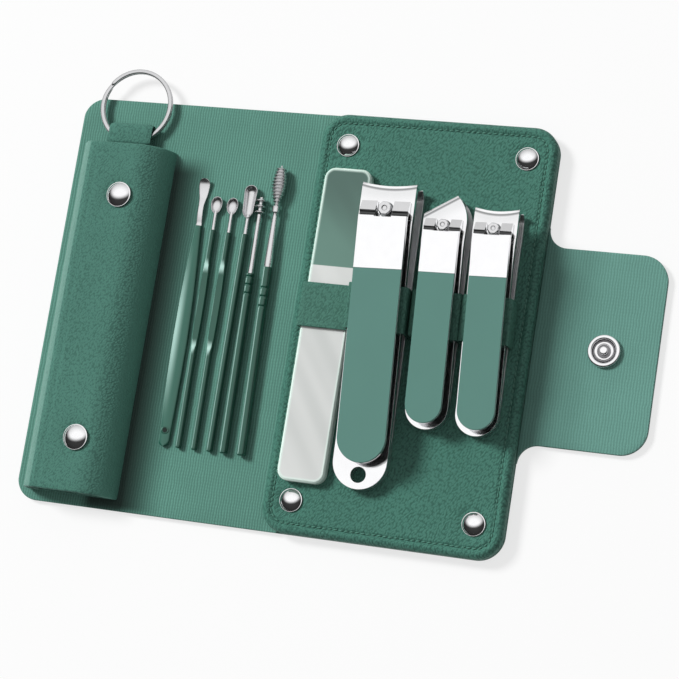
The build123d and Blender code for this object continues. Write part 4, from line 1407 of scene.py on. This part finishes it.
@dataclass
class Strap:
    """The leather strap over the file and the clippers' jaws, its ends drawn into the panel."""

    finishes: Finishes
    tunnels: tuple[Tunnel, ...] = (
        Tunnel(-29.47, -15.73, 7.37, 7.37),
        Tunnel(-15.38, 0.03, 11.19, 12.56),
        Tunnel(2.02, 14.13, 9.43, 11.03),
        Tunnel(15.56, 27.68, 9.44, 11.02),
    )
    low: float = -2.6
    high: float = 9.5
    thick: float = 0.7
    panel_top: float = 4.4
    tuck: float = 0.75
    ease: float = 1.1
    edge: float = 0.3

    def corners(self) -> tuple[Array, Array, Array]:
        """The corners of the strap's middle line: x, and height at the lower and upper edge."""
        half = self.thick / 2
        down, under = self.panel_top + half, self.panel_top - self.tuck
        points = [(self.tunnels[0].left - half, under, under)]
        for index, space in enumerate(self.tunnels):
            x0, x1 = space.left - half, space.right + half
            near, far = space.near + half, space.far + half
            before = self.tunnels[index - 1].right + half if index else -1e9
            after = self.tunnels[index + 1].left - half if index + 1 < len(self.tunnels) else 1e9
            if before > x0:
                x0 = (before + x0) / 2
                points.append((x0, near, far))
            else:
                points += [(x0, down, down), (x0, near, far)] if index else [(x0, near, far)]
            if after < x1:
                points.append(((after + x1) / 2, near, far))
            else:
                last = index + 1 == len(self.tunnels)
                points += [(x1, near, far), (x1, under if last else down, under if last else down)]
        table = np.array(points)
        return table[:, 0], table[:, 1], table[:, 2]

    def path(self) -> tuple[Array, Array, Array]:
        """The strap's middle line.

        Returns:
            x, and height at the lower and the upper edge: straight runs between the corners,
            sampled evenly and averaged with a bell of neighbours, which rounds the corners.
        """
        px, pn, pf = self.corners()
        run = np.concatenate([[0], np.cumsum(np.hypot(np.diff(px), np.diff((pn + pf) / 2)))])
        at = np.linspace(0, run[-1], 760)
        width = max(3, int(self.ease / (at[1] - at[0]))) | 1
        kernel = np.hanning(width + 2)[1:-1]
        kernel /= kernel.sum()
        rows = []
        for values in (px, pn, pf):
            line = np.interp(at, run, values)
            rows.append(np.convolve(np.pad(line, width // 2, mode="edge"), kernel, mode="valid"))
        return rows[0], rows[1], rows[2]

    def build(self) -> None:
        """Builds the strap: an eased flat section carried along the path, tilted with its edges.

        The section's half thickness near an edge is the root of the edge radius squared less
        the square of what is left of it. Where two spaces nearly touch, the band is pinched.
        """
        x, near, far = self.path()
        mean = (near + far) / 2
        dx, dz = np.gradient(x), np.gradient(mean)
        size = np.maximum(np.hypot(dx, dz), 1e-9)
        nx, nz = -dz / size, dx / size
        wide = self.high - self.low
        eased = self.edge * (1 - np.cos(np.linspace(0, np.pi / 2, 5)))
        places = np.concatenate([eased, np.linspace(self.edge, wide - self.edge, 14)[1:-1]])
        places = np.concatenate([places, wide - eased[::-1]])
        inside = np.minimum(places, places[::-1])
        deep = np.sqrt(np.maximum(self.edge**2 - np.maximum(self.edge - inside, 0.0) ** 2, 0.0))
        deep = deep + (self.thick / 2 - self.edge)
        section_y = np.concatenate([places, places[::-1]]) + self.low
        section = np.concatenate([deep, -deep[::-1]])
        share = (section_y - self.low) / wide
        meet = (self.tunnels[0].right + self.tunnels[1].left) / 2
        upright = np.abs(dz) / size
        pinch = 1.0 - 0.52 * upright * np.exp(-(((x - meet) / 0.5) ** 2))
        section = section[None, :] * pinch[:, None]
        z = near[:, None] + (far - near)[:, None] * share
        rings = stack(x[:, None] + nx[:, None] * section, section_y, z + nz[:, None] * section)
        made = make_piece("strap_band", loft("strap_band", rings), self.finishes.strap, 60.0)
        set_out(made, "panel_leaf", "grained_leather", "strap")


@dataclass
class Snap:
    """The male half of the closing snap: a rolled ring, a dish, a raised step and a nub."""

    finishes: Finishes
    centre: tuple[float, float] = (51.7, 0.0)
    base: float = 1.5
    outer: float = 4.3
    inner: float = 3.1
    height: float = 1.2

    def build(self) -> None:
        """Builds the ring, its top half an ellipse, and what stands in it."""
        swing = np.linspace(0.0, np.pi, 15)
        middle, half = (self.outer + self.inner) / 2, (self.outer - self.inner) / 2
        top = np.stack([middle + half * np.cos(swing), self.height - 0.42 + 0.42 * np.sin(swing)], 1)
        ring = np.concatenate([[[self.outer, 0.0]], top, [[self.inner, 0.0]]])
        dish = np.array([
            [3.16, 0.02], [3.12, 0.75], [3.0, 0.3], [2.8, 0.12], [2.4, 0.08], [1.2, 0.08], [0.02, 0.08],
        ])
        step = np.array([
            [2.62, 0.02], [2.6, 0.46], [2.45, 0.62], [2.15, 0.68], [1.85, 0.63], [1.7, 0.48], [1.68, 0.02],
        ])
        nub = np.array([[1.16, 0.02], [1.14, 1.3], [1.04, 1.55], [0.82, 1.68], [0.4, 1.7], [0.02, 1.7]])
        # The dish is dark steel, a painted shade in the well under the step and the nub.
        chrome, shade_well = self.finishes.chrome, self.finishes.shade_well
        for name, profile, finish, loop, node in (
            ("snap_ring", ring, chrome, True, ("snap_stud",)), ("snap_dish", dish, shade_well, False, ()),
            ("snap_step", step, chrome, True, ()), ("snap_nub", nub, chrome, False, ()),
        ):
            profile[:, 1] += self.base
            rings = round_profile(profile, 64, self.centre)
            made = make_piece(name, loft(name, rings, loop=loop), finish, 50.0)
            set_out(made, "tab", "chromed_fittings", *node)


@dataclass(frozen=True)
class PickPose:
    """Where a pick lies on the lining: its handle's end, its turn and what it rests on."""

    name: str
    x: float
    turn: float
    end_radius: float
    rest_radius: float
    rest_y: float
    end_y: float = -38.5
    floor: float = 1.55

    def placed(self, x: Array, y: Array, z: Array) -> Array:
        """Carries points from the pick's own frame, Y along its axis, to its place.

        Args:
            x: across the pick.
            y: from the handle's end.
            z: upwards.

        Returns:
            The points in metres: tilted about X so that the head rests too, turned about Z
            and moved to the handle's end.
        """
        tilt = np.arctan2(self.rest_radius - self.end_radius, self.rest_y)
        turn = np.radians(self.turn)
        x, y, z = np.broadcast_arrays(x, y, z)
        fore, rise = y * np.cos(tilt) - z * np.sin(tilt), y * np.sin(tilt) + z * np.cos(tilt)
        across, along = x * np.cos(turn) - fore * np.sin(turn), x * np.sin(turn) + fore * np.cos(turn)
        return stack(self.x + across, self.end_y + along, self.floor + self.end_radius + rise)


@dataclass
class Picks:
    """The six ear picks: turned and flattened handles, and their steel heads."""

    finishes: Finishes
    around: int = 28
    end_round: float = 0.35
    groove: float = 0.3
    groove_depth: float = 0.2
    rib_pitch: float = 0.9
    spatula: PickPose = PickPose("spatula_pick", -64.15, 0.7, 0.6, 0.6, 75.0)
    short_spoon: PickPose = PickPose("short_spoon_pick", -59.65, 0.65, 0.8, 0.8, 70.2)
    round_spoon: PickPose = PickPose("round_spoon_pick", -55.1, 0.55, 0.8, 0.8, 70.2)
    scoop: PickPose = PickPose("scoop_pick", -50.6, 0.2, 0.85, 0.85, 74.0)
    ringed: PickPose = PickPose("ringed_pick", -46.45, 0.9, 1.1, 1.2, 71.0)
    brush: PickPose = PickPose("brush_pick", -41.25, 1.3, 1.2, 1.75, 75.87)

    def lathe(
        self, pose: PickPose, y: Array, radius: Array, flat: Array | float = 9.0, wide: Array | float = 1.0
    ) -> Array:
        """Rings of a turned piece.

        Args:
            pose: where the pick lies.
            y: stations along it.
            radius: its radius at each.
            flat: the height at which its top and underside are flattened.
            wide: how much wider than high it is.

        Returns:
            The rings: radius times the cosine and sine of the angle, the cosine stretched by
            wide and the height clipped at flat.
        """
        angle = np.linspace(0, 2 * np.pi, self.around, endpoint=False)
        limit = np.broadcast_to(flat, radius.shape)[:, None]
        rise = np.clip(radius[:, None] * np.sin(angle), -limit, limit)
        span = radius * wide
        return pose.placed(span[:, None] * np.cos(angle), y[:, None], rise)

    def handle(
        self, pose: PickPose, radius: float, length: float, grooves: Sequence[float] = (),
        grip: tuple[float, float] | None = None,
    ) -> None:
        """A round painted handle.

        Args:
            pose: where the pick lies.
            radius: its radius.
            length: from its end to the steel.
            grooves: the places of its turned rings.
            grip: where its flattened grip begins and ends, if it has one.

        The end is a quarter circle; each turned ring is a bell curve taken off the radius; the
        grip's height falls from the radius by a half sine of the way along it.
        """
        y = np.unique(np.concatenate([
            self.end_round * (1 - np.cos(np.linspace(0, np.pi / 2, 6))),
            np.linspace(self.end_round, length, 90),
            *[np.linspace(at - 0.7, at + 0.7, 15) for at in grooves], [length - 0.12, length],
        ]))
        inside = np.clip(self.end_round - y, 0, self.end_round)
        side = radius - self.end_round + np.sqrt(np.maximum(self.end_round**2 - inside**2, 0))
        for at in grooves:
            side = side - self.groove_depth * np.exp(-(((y - at) / self.groove) ** 2))
        side[-1] -= 0.12
        flat: Array | float = 9.0
        if grip:
            share = np.clip((y - grip[0]) / (grip[1] - grip[0]), 0, 1)
            pressed = np.sin(np.pi * share) ** 0.6
            flat = radius - 0.2 * pressed
            side = side + 0.3 * pressed
        name = f"{pose.name}_grip"
        paint = self.finishes.gripped if grip else self.finishes.handle
        made = make_piece(name, loft(name, self.lathe(pose, y, side, flat)), paint, 24.0)
        set_out(made, pose.name, "green_enamel", f"{pose.name}_handle")

    def head(self, pose: PickPose, shells: Sequence[Array]) -> None:
        """Sets a pick's steel head out."""
        name = f"{pose.name}_steel"
        made = make_piece(name, joined(name, shells), self.finishes.steel, 46.0)
        set_out(made, pose.name, "polished_steel", f"{pose.name}_head")

    def bowl(
        self, pose: PickPose, y0: float, y1: float, width: float, depth: float, rim: float, long: bool
    ) -> Array:
        """Rings of a spoon's bowl.

        Args:
            pose: where the pick lies.
            y0: the end at the stem.
            y1: its tip.
            width: its width.
            depth: its depth.
            rim: the height of its rim over the pick's axis.
            long: whether its sides are straight.

        Returns:
            The rings from the bottom outside to the rim, over its rounded lip, and down to the
            bottom inside. Each is an oval, or a round-ended slot, whose size is the sine of an
            angle and whose depth is its cosine; both narrow towards the stem.
        """
        wall = 0.3 if long else 0.18
        down = np.linspace(0.06, np.pi / 2, 12)
        lip = np.linspace(0, np.pi, 7)[1:-1]
        half = width / 2
        back = down[::-1]
        lip_size, lip_level = half - wall / 2 + wall / 2 * np.cos(lip), wall * 0.7 * np.sin(lip)
        size = np.concatenate([half * np.sin(down), lip_size, (half - wall) * np.sin(back)])
        level = np.concatenate([-depth * np.cos(down), lip_level, -(depth - wall) * np.cos(back)])
        angle = np.linspace(0, 2 * np.pi, 40, endpoint=False) + 0.03
        share = size[:, None] / half
        if long:
            straight = (y1 - y0) / 2 - half
            y = np.sign(np.sin(angle)) * straight + size[:, None] * np.sin(angle)
            along = np.clip((y / (y1 - y0) + 0.5) / 0.7, 0.0, 1.0)
            x = size[:, None] * np.cos(angle) * (0.7 + 0.3 * np.sin(along * np.pi / 2))
        else:
            x = size[:, None] * np.cos(angle) * (1.0 + 0.11 * np.sin(angle))
            y = share * (y1 - y0) / 2 * np.sin(angle)
        return pose.placed(x, (y0 + y1) / 2 + y, rim + level[:, None])

    def plate(self, pose: PickPose, y: Array, half: Array, low: float, high: float, bow: Array) -> Array:
        """Rings of a flat plate with rounded edges.

        Args:
            pose: where the pick lies.
            y: stations along it.
            half: its half width at each.
            low: its underside over the pick's axis.
            high: its top.
            bow: how far each station is lifted.

        Returns:
            The rings: the height is the sine of the angle to a power below one, which squares
            the section, and its width is drawn in near the sides.
        """
        thick, blunt = (high - low) / 2, 0.55
        angle = np.linspace(0, 2 * np.pi, 32, endpoint=False)
        edge = np.minimum(thick, half)[:, None]
        aside = np.abs(np.cos(angle))
        ease = np.sign(np.cos(angle)) * aside**0.7
        square = np.minimum(1.0, blunt / np.maximum(aside, blunt)) ** 0.5
        x = (half[:, None] - edge) * np.cos(angle) * square + edge * ease
        z = (low + high) / 2 + thick * np.sign(np.sin(angle)) * np.abs(np.sin(angle)) ** 0.6
        return pose.placed(x, y[:, None], z + bow[:, None])

    def make_spatula(self) -> None:
        """The flat spatula: a leaf-shaped handle with a hole for hanging, and a spread tip.

        The half widths run straight between stations along it, and its ends are rounded.
        """
        pose = self.spatula
        y = np.concatenate([1.6 * (1 - np.cos(np.linspace(0.12, np.pi / 2, 10))), np.linspace(1.8, 61.7, 60)])
        end = np.sqrt(np.maximum(1.6**2 - np.clip(1.6 - y, 0, 1.6) ** 2, 0))
        leaf = np.interp(y, [1.6, 10, 20, 30, 42, 52, 61.7], [1.6, 1.86, 2.1, 2.2, 1.98, 1.5, 1.0])
        half = np.where(y < 1.6, end, leaf)
        angle = np.linspace(0, 2 * np.pi, 40, endpoint=False)
        rings = pose.placed(half[:, None] * np.cos(angle), y[:, None], 0.6 * np.sin(angle))
        mesh = loft("spatula_pick_grip", rings)
        made = make_piece("spatula_pick_grip", mesh, self.finishes.broad, 60.0)
        set_out(made, pose.name, "green_enamel", "spatula_pick_handle")
        angle = np.linspace(0, 2 * np.pi, 24, endpoint=False)
        hole_y = 4.4
        eyelet = np.array([[0.64, 0.57], [0.72, 0.66], [0.96, 0.66], [1.12, 0.56], [1.12, 0.45], [0.64, 0.45]])
        shade_well = np.array([[0.02, 0.5], [0.62, 0.505], [0.64, 0.625], [0.02, 0.625]])
        for name, profile, loop, finish in (
            ("spatula_pick_eyelet", eyelet, True, self.finishes.handle),
            ("spatula_pick_hole", shade_well, False, self.finishes.dark),
        ):
            radius = profile[:, :1]
            rings = pose.placed(radius * np.cos(angle), hole_y + radius * np.sin(angle), profile[:, 1:])
            made = make_piece(name, loft(name, rings, loop=loop), finish, 40.0)
            set_out(made, pose.name, "green_enamel")
        spread = 73.2 + 1.8 * np.sin(np.linspace(0.1, np.pi / 2 * 0.97, 14))
        y = np.concatenate([np.linspace(61.5, 73.2, 40), spread])
        stations = [61.5, 64.5, 67.3, 69.2, 71.0, 72.6, 73.2]
        half = np.interp(y, stations, [1.05, 0.98, 0.95, 1.25, 1.8, 2.08, 2.1])
        tip = 2.1 * np.maximum(1 - ((y - 73.2) / 1.8) ** 2.6, 0) ** 0.45
        half = np.where(y > 73.2, tip, half)
        bow = 0.7 * np.clip((y - 69.5) / 5.5, 0, 1) ** 2 + 0.5 * np.sin(np.clip((y - 62.5) / 7.5, 0, 1) * np.pi)
        bow = bow + 0.4 * np.clip((y - 73.4) / 1.6, 0, 1) ** 2
        self.head(pose, [self.plate(pose, y, half, -0.55, 0.05, bow)])

    def make_spoons(self) -> None:
        """The two small spoons and the long scoop."""
        for pose, neck in ((self.short_spoon, 60.8), (self.round_spoon, 60.4)):
            self.handle(pose, 0.8, neck, grip=(26.8, 52.4))
            y = np.array([neck - 0.2, neck, neck + 0.2, 63.5, 65.4, 66.2])
            stem = self.lathe(pose, y, np.array([0.6, 0.6, 0.55, 0.52, 0.56, 0.42]))
            self.head(pose, [stem, self.bowl(pose, 65.4, 70.3, 3.3, 1.0, 0.3, False)])
        pose = self.scoop
        self.handle(pose, 0.85, 60.4)
        y = np.array([60.2, 60.4, 60.7, 63.5, 65.2, 66.0])
        stem = self.lathe(pose, y, np.array([0.7, 0.68, 0.6, 0.56, 0.6, 0.45]))
        self.head(pose, [stem, self.bowl(pose, 64.8, 74.2, 3.8, 1.7, 0.72, True)])

    def make_ringed(self) -> None:
        """The pick with three rings: each ring's side is half an ellipse on the stem."""
        pose = self.ringed
        self.handle(pose, 1.1, 49.6, grooves=(43.95, 46.35, 48.6))
        y = np.linspace(49.5, 71.0, 260)
        radius = np.interp(y, [49.5, 52.0, 65.5, 71.0], [0.85, 0.72, 0.64, 0.62])
        for at in (66.75, 68.4, 70.05):
            bulge = 1.45 * np.sqrt(np.maximum(1 - ((y - at) / 0.55) ** 2, 0))
            radius = np.maximum(radius, bulge)
        radius[-1] = 0.4
        self.head(pose, [self.lathe(pose, y, radius)])

    def make_brush(self) -> None:
        """The ribbed brush: fine ribs, a cosine along the tip, on a spindle, behind a collar."""
        pose = self.brush
        self.handle(pose, 1.2, 51.8, grooves=(40.75, 43.45, 45.85))
        y = np.concatenate([
            [51.6, 52.0, 53.0], np.linspace(54.0, 66.9, 12), [67.0, 67.1, 68.7, 68.8],
            np.linspace(68.9, 80.2, 240),
        ])
        stations = [51.6, 53.0, 66.9, 67.0, 67.1, 68.7, 68.8, 68.9]
        radius = np.interp(y, stations, [1.15, 1.2, 0.68, 0.75, 1.05, 1.05, 0.95, 0.65])
        share = np.clip((y - 68.8) / 10.9, 0, 1)
        spindle = 0.65 + 1.08 * (1 - ((share - 0.62) / 0.62) ** 2)
        ribs = 0.36 * (0.5 + 0.5 * np.cos((y - 68.8) / self.rib_pitch * 2 * np.pi))
        radius = np.where(y > 68.85, np.maximum(spindle - ribs, 0.5), radius)
        radius = np.where(y > 79.5, np.maximum(0.5 - (y - 79.5) * 0.4, 0.2), radius)
        wide = 1.0 + 0.3 * np.sin(np.pi * share)
        self.head(pose, [self.lathe(pose, y, radius, wide=wide)])

    def build(self) -> None:
        """Builds the six picks."""
        self.make_spatula()
        self.make_spoons()
        self.make_ringed()
        self.make_brush()


@dataclass(frozen=True)
class ClipperPlace:
    """A clipper's tail, what its post measures, and its lip.

    The lip is a point beside and ahead of the post, its slant and its bow; it places a painted shade behind the
    cutting lip.
    """

    name: str
    tail_x: float
    tail_y: float
    post: float
    pin: float
    top: float
    groove: tuple[float, float]
    lip: tuple[float, float, float, float]
    turn: float = 1.3
    floor: float = 4.45

    def post_centre(self) -> tuple[float, float]:
        """The post's axis: the tail, and the post's distance along the turned clipper."""
        angle = np.radians(self.turn)
        return (self.tail_x - self.post * float(np.sin(angle)), self.tail_y + self.post * float(np.cos(angle)))

    def lip_line(self) -> tuple[float, float, float, float]:
        """The cutting lip: a point on it, its turn and its bow, from its place beside the post."""
        aside, ahead, slant, bow = self.lip
        angle = np.radians(self.turn)
        x, y = self.post_centre()
        across = aside * float(np.cos(angle)) - ahead * float(np.sin(angle))
        along = aside * float(np.sin(angle)) + ahead * float(np.cos(angle))
        return (x + across, y + along, float(angle + np.radians(slant)), bow)


@dataclass
class Tools:
    """The clippers, the file and the ear picks: hard pieces with eased edges and their finishes."""

    finishes: Finishes
    clippers: tuple[ClipperPlace, ...] = (
        ClipperPlace("big_clipper", -6.6, -43.9, 73.3, 1.6, 11.05, (-2.3, -0.8), (0.0, 6.4, 0.0, 0.0162)),
        ClipperPlace("slant_clipper", 8.75, -26.2, 52.9, 1.3, 9.45, (-1.8, -0.7), (2.5, 8.5, 32.0, 0.0)),
        ClipperPlace("small_clipper", 22.3, -26.45, 53.3, 1.3, 9.45, (-1.8, -0.7), (0.0, 5.0, 0.0, 0.0259)),
    )
    head_height: float = 0.7
    head_over: float = 0.28

    def body_of(self, node: str, bodies: dict) -> str:
        """The body that holds a node."""
        return next(body for body, members in bodies.items() if node in members)

    def post(self, clipper: ClipperPlace, body: str) -> None:
        """A clipper's post: a pin under an eight-sided head with a sunk centre.

        The head's sides lie at the apothem over the cosine of the angle from the nearest flat;
        that share fades in from the round pin to the chamfered head.
        """
        pin, over, top = clipper.pin, self.head_over, clipper.top
        profile = np.array([
            [pin * 0.99, 0.0], [pin * 0.99, top - 2.0], [pin * 0.82, top - 1.7], [pin * 0.82, top - 0.25],
            [pin - 0.1 + over, top - 0.05], [pin + over, top + 0.1], [pin + over, top + 0.38],
            [pin - 0.22 + over, top + 0.66], [pin - 0.5, top + self.head_height],
            [pin * 0.5, top + self.head_height - 0.04], [pin * 0.34, top + 0.42], [0.03, top + 0.38],
        ])
        facet = np.array([0, 0, 0, 0, 1, 1, 1, 1, 0.5, 0.2, 0, 0.0])[:, None]
        angle = np.linspace(0, 2 * np.pi, 64, endpoint=False)
        from_flat = (angle + np.pi / 8) % (np.pi / 4) - np.pi / 8
        shape = 1.0 + facet * (np.cos(np.pi / 8) / np.cos(from_flat) - 1.0)
        x, y = clipper.post_centre()
        radius = profile[:, :1] * shape
        rings = stack(x + radius * np.cos(angle), y + radius * np.sin(angle), clipper.floor + profile[:, 1:])
        name = f"{clipper.name}_post_head"
        made = make_piece(name, loft(name, rings), self.finishes.steel, 24.0)
        set_out(made, body, "polished_steel", f"{clipper.name}_post")

    def build(self, bodies: dict) -> None:
        """Dresses every hard piece.

        Args:
            bodies: the record's bodies and their nodes.
        """
        finishes = self.finishes
        for clipper in self.clippers:
            name = clipper.name
            self.post(clipper, self.body_of(f"{name}_post", bodies))
            # Each lever's groove and each upper jaw's lip carry painted shade.
            place = (*clipper.post_centre(), float(np.radians(clipper.turn)), *clipper.groove)
            grooved = Metal(f"{name}_lever_chrome", (0.95, 0.95, 0.96, 1.0), 0.07, groove=place).material()
            lip = clipper.lip_line()
            lipped = Metal(f"{name}_jaw_chrome", (0.93, 0.93, 0.94, 1.0), 0.07, lip=lip).material()
            for part, ease in (("lower_jaw", 0.25), ("upper_jaw", 0.42), ("lever", 0.28), ("tail_rivet", 0.05)):
                node = f"{name}_{part}"
                own = {"lever": grooved, "upper_jaw": lipped, "lower_jaw": finishes.jaw}
                finish = own.get(part, finishes.chrome)
                refined(node, finish, self.body_of(node, bodies), ease)
            node = f"{name}_lever_cover"
            refined(node, finishes.enamel, self.body_of(node, bodies), 0.16)
            LOG.info("%s dressed", name)
        glass = FileGlass("file_glass", (-22.6, -1.1), (6.65, 42.7), 3.0, 14.4).material()
        refined("glass_file", glass, "glass_file", 0.15)
        for node in ("snap_cap", "snap_socket"):
            refined(node, finishes.chrome, self.body_of(node, bodies))


# ---------------------------------------------------------------- studio


@dataclass
class Studio:
    """The floor, the lights and the camera."""

    eye: tuple[float, float, float] = (156.11, -94.96, 533.32)
    look: tuple[float, float, float] = (-0.30958, 0.16008, -0.93730)
    up: tuple[float, float, float] = (-0.10030, 0.97473, 0.19960)
    focal: float = 112.71
    key_power: float = 310.0
    key_at: tuple[float, float, float] = (-3.5, 1.8, 3.4)
    key_size: float = 1.3
    soft_level: float = 0.46
    canopy_level: float = 1.36
    horizon_level: float = 0.05
    soft_range: tuple[float, float] = (-0.1, 0.6)
    canopy_range: tuple[float, float] = (0.3, 0.72)
    canopy_fade: float = 0.45
    fade_height: float = 0.8
    canopy_lean: tuple[float, float, float] = (-0.12, 0.66, 0.72)

    def floor(self) -> None:
        """A pale floor, white to the eye and to reflections."""
        mesh = bpy.data.meshes.new("floor")
        half = 6.0
        corners = [(-half, -half, 0), (half, -half, 0), (half, half, 0), (-half, half, 0)]
        mesh.from_pydata(corners, [], [(0, 1, 2, 3)])
        made = bpy.data.objects.new("floor", mesh)
        made.location.z = -0.0002
        bpy.context.scene.collection.objects.link(made)
        graph = Graph("pale_floor")
        rays = graph.tree.nodes.new("ShaderNodeLightPath")
        seen = Value(graph, rays.outputs["Is Camera Ray"])
        for kind in ("Is Glossy Ray", "Is Transmission Ray"):
            seen = seen.most(Value(graph, rays.outputs[kind]))
        paper = graph.shader(Base_Color=tone(236, 236, 236), Roughness=0.9)
        glow = graph.node("ShaderNodeEmission", {}, {"Color": (1, 1, 1, 1), "Strength": 1.0})
        mixed = graph.node("ShaderNodeMixShader", {}, {0: seen * 0.72, 1: paper, 2: glow})
        made.data.materials.append(graph.finish(mixed))

    def lamp(self) -> None:
        """The key: a square soft lamp above the case and to its left, faced to the origin.

        It is left out of reflections, which show the canopy instead.
        """
        data = bpy.data.lights.new("key", "AREA")
        data.shape = "SQUARE"
        data.size = self.key_size
        data.energy = self.key_power
        made = bpy.data.objects.new("key", data)
        bpy.context.scene.collection.objects.link(made)
        made.location = self.key_at
        made.rotation_euler = (-Vector(self.key_at)).to_track_quat("-Z", "Y").to_euler()
        made.visible_glossy = False

    def world(self) -> None:
        """Soft light from overhead, a bright canopy in reflections, and white to the eye.

        Matt surfaces get the soft level, which climbs by a smooth step of the direction's height.
        Reflections get the canopy's, which climbs by a smooth step of the direction's dot product
        with canopy_lean, times a factor that climbs evenly with the height, from canopy_fade to
        one. Both steps start at the horizon's level. Rays from the camera see plain white.
        """
        world = bpy.data.worlds.new("studio")
        bpy.context.scene.world = world
        world.use_nodes = True
        tree = world.node_tree
        tree.nodes.clear()
        out = tree.nodes.new("ShaderNodeOutputWorld")
        back = tree.nodes.new("ShaderNodeBackground")
        rays = tree.nodes.new("ShaderNodeLightPath")
        heading = tree.nodes.new("ShaderNodeTexCoord")
        height = tree.nodes.new("ShaderNodeSeparateXYZ")
        tree.links.new(heading.outputs["Generated"], height.inputs[0])
        lean = tree.nodes.new("ShaderNodeVectorMath")
        lean.operation = "DOT_PRODUCT"
        lean.inputs[1].default_value = self.canopy_lean
        for name, span, high in (
            ("soft", self.soft_range, self.soft_level), ("canopy", self.canopy_range, self.canopy_level)
        ):
            step = tree.nodes.new("ShaderNodeMapRange")
            step.name = name
            step.interpolation_type = "SMOOTHSTEP"
            for place, value in enumerate((*span, self.horizon_level, high), 1):
                step.inputs[place].default_value = value
            tree.links.new(height.outputs["Z"] if name == "soft" else lean.outputs["Value"], step.inputs[0])
        fade = tree.nodes.new("ShaderNodeMapRange")
        fade.inputs[2].default_value = self.fade_height
        fade.inputs[3].default_value = self.canopy_fade
        tree.links.new(height.outputs["Z"], fade.inputs[0])
        canopy = tree.nodes.new("ShaderNodeMath")
        canopy.operation = "MULTIPLY"
        tree.links.new(tree.nodes["canopy"].outputs[0], canopy.inputs[0])
        tree.links.new(fade.outputs[0], canopy.inputs[1])
        gloss = tree.nodes.new("ShaderNodeMath")
        gloss.operation = "MAXIMUM"
        tree.links.new(rays.outputs["Is Glossy Ray"], gloss.inputs[0])
        tree.links.new(rays.outputs["Is Transmission Ray"], gloss.inputs[1])
        chosen = tree.nodes.new("ShaderNodeMapRange")
        tree.links.new(gloss.outputs[0], chosen.inputs[0])
        tree.links.new(tree.nodes["soft"].outputs[0], chosen.inputs[3])
        tree.links.new(canopy.outputs[0], chosen.inputs[4])
        level = tree.nodes.new("ShaderNodeMapRange")
        level.inputs[4].default_value = 1.0
        tree.links.new(heading.outputs["Generated"], lean.inputs[0])
        tree.links.new(chosen.outputs[0], level.inputs[3])
        tree.links.new(rays.outputs["Is Camera Ray"], level.inputs[0])
        tree.links.new(level.outputs[0], back.inputs["Strength"])
        tree.links.new(back.outputs[0], out.inputs["Surface"])

    def camera(self) -> None:
        """The camera, from where it stands, where it looks and its focal length."""
        data = bpy.data.cameras.new("camera")
        data.lens = self.focal
        data.sensor_width = 36.0
        data.clip_start = 0.01
        made = bpy.data.objects.new("camera", data)
        bpy.context.scene.collection.objects.link(made)
        look, up = Vector(self.look).normalized(), Vector(self.up).normalized()
        side = look.cross(up).normalized()
        up = side.cross(look).normalized()
        turn = Matrix((side, up, -look)).transposed().to_4x4()
        made.matrix_world = Matrix.Translation(Vector(self.eye) * MM) @ turn
        bpy.context.scene.camera = made

    def build(self) -> None:
        """Sets up the whole studio."""
        self.floor()
        self.world()
        self.lamp()
        self.camera()
        bpy.context.scene.view_settings.view_transform = "Standard"


def main() -> None:
    """Loads the frame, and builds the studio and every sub-assembly in order."""
    logging.basicConfig(level=logging.INFO, format="%(name)s: %(message)s")
    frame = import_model()
    bodies = frame["record"]["behaviour"]["bodies"]
    finishes = Finishes()
    Studio().build()
    Folder(finishes).build()
    Panel(finishes).build()
    Sleeve(finishes).build()
    RingLoop(finishes).build()
    Strap(finishes).build()
    Snap(finishes).build()
    Picks(finishes).build()
    Tools(finishes).build(bodies)
    for node, finish in (
        ("panel_board", finishes.board), ("panel_foam", finishes.foam), ("panel_rivet_posts", finishes.chrome),
        ("sleeve_rivet_posts", finishes.chrome),
    ):
        frame["nodes"][node].data.materials.clear()
        frame["nodes"][node].data.materials.append(finish)


if __name__ == "__main__":
    main()
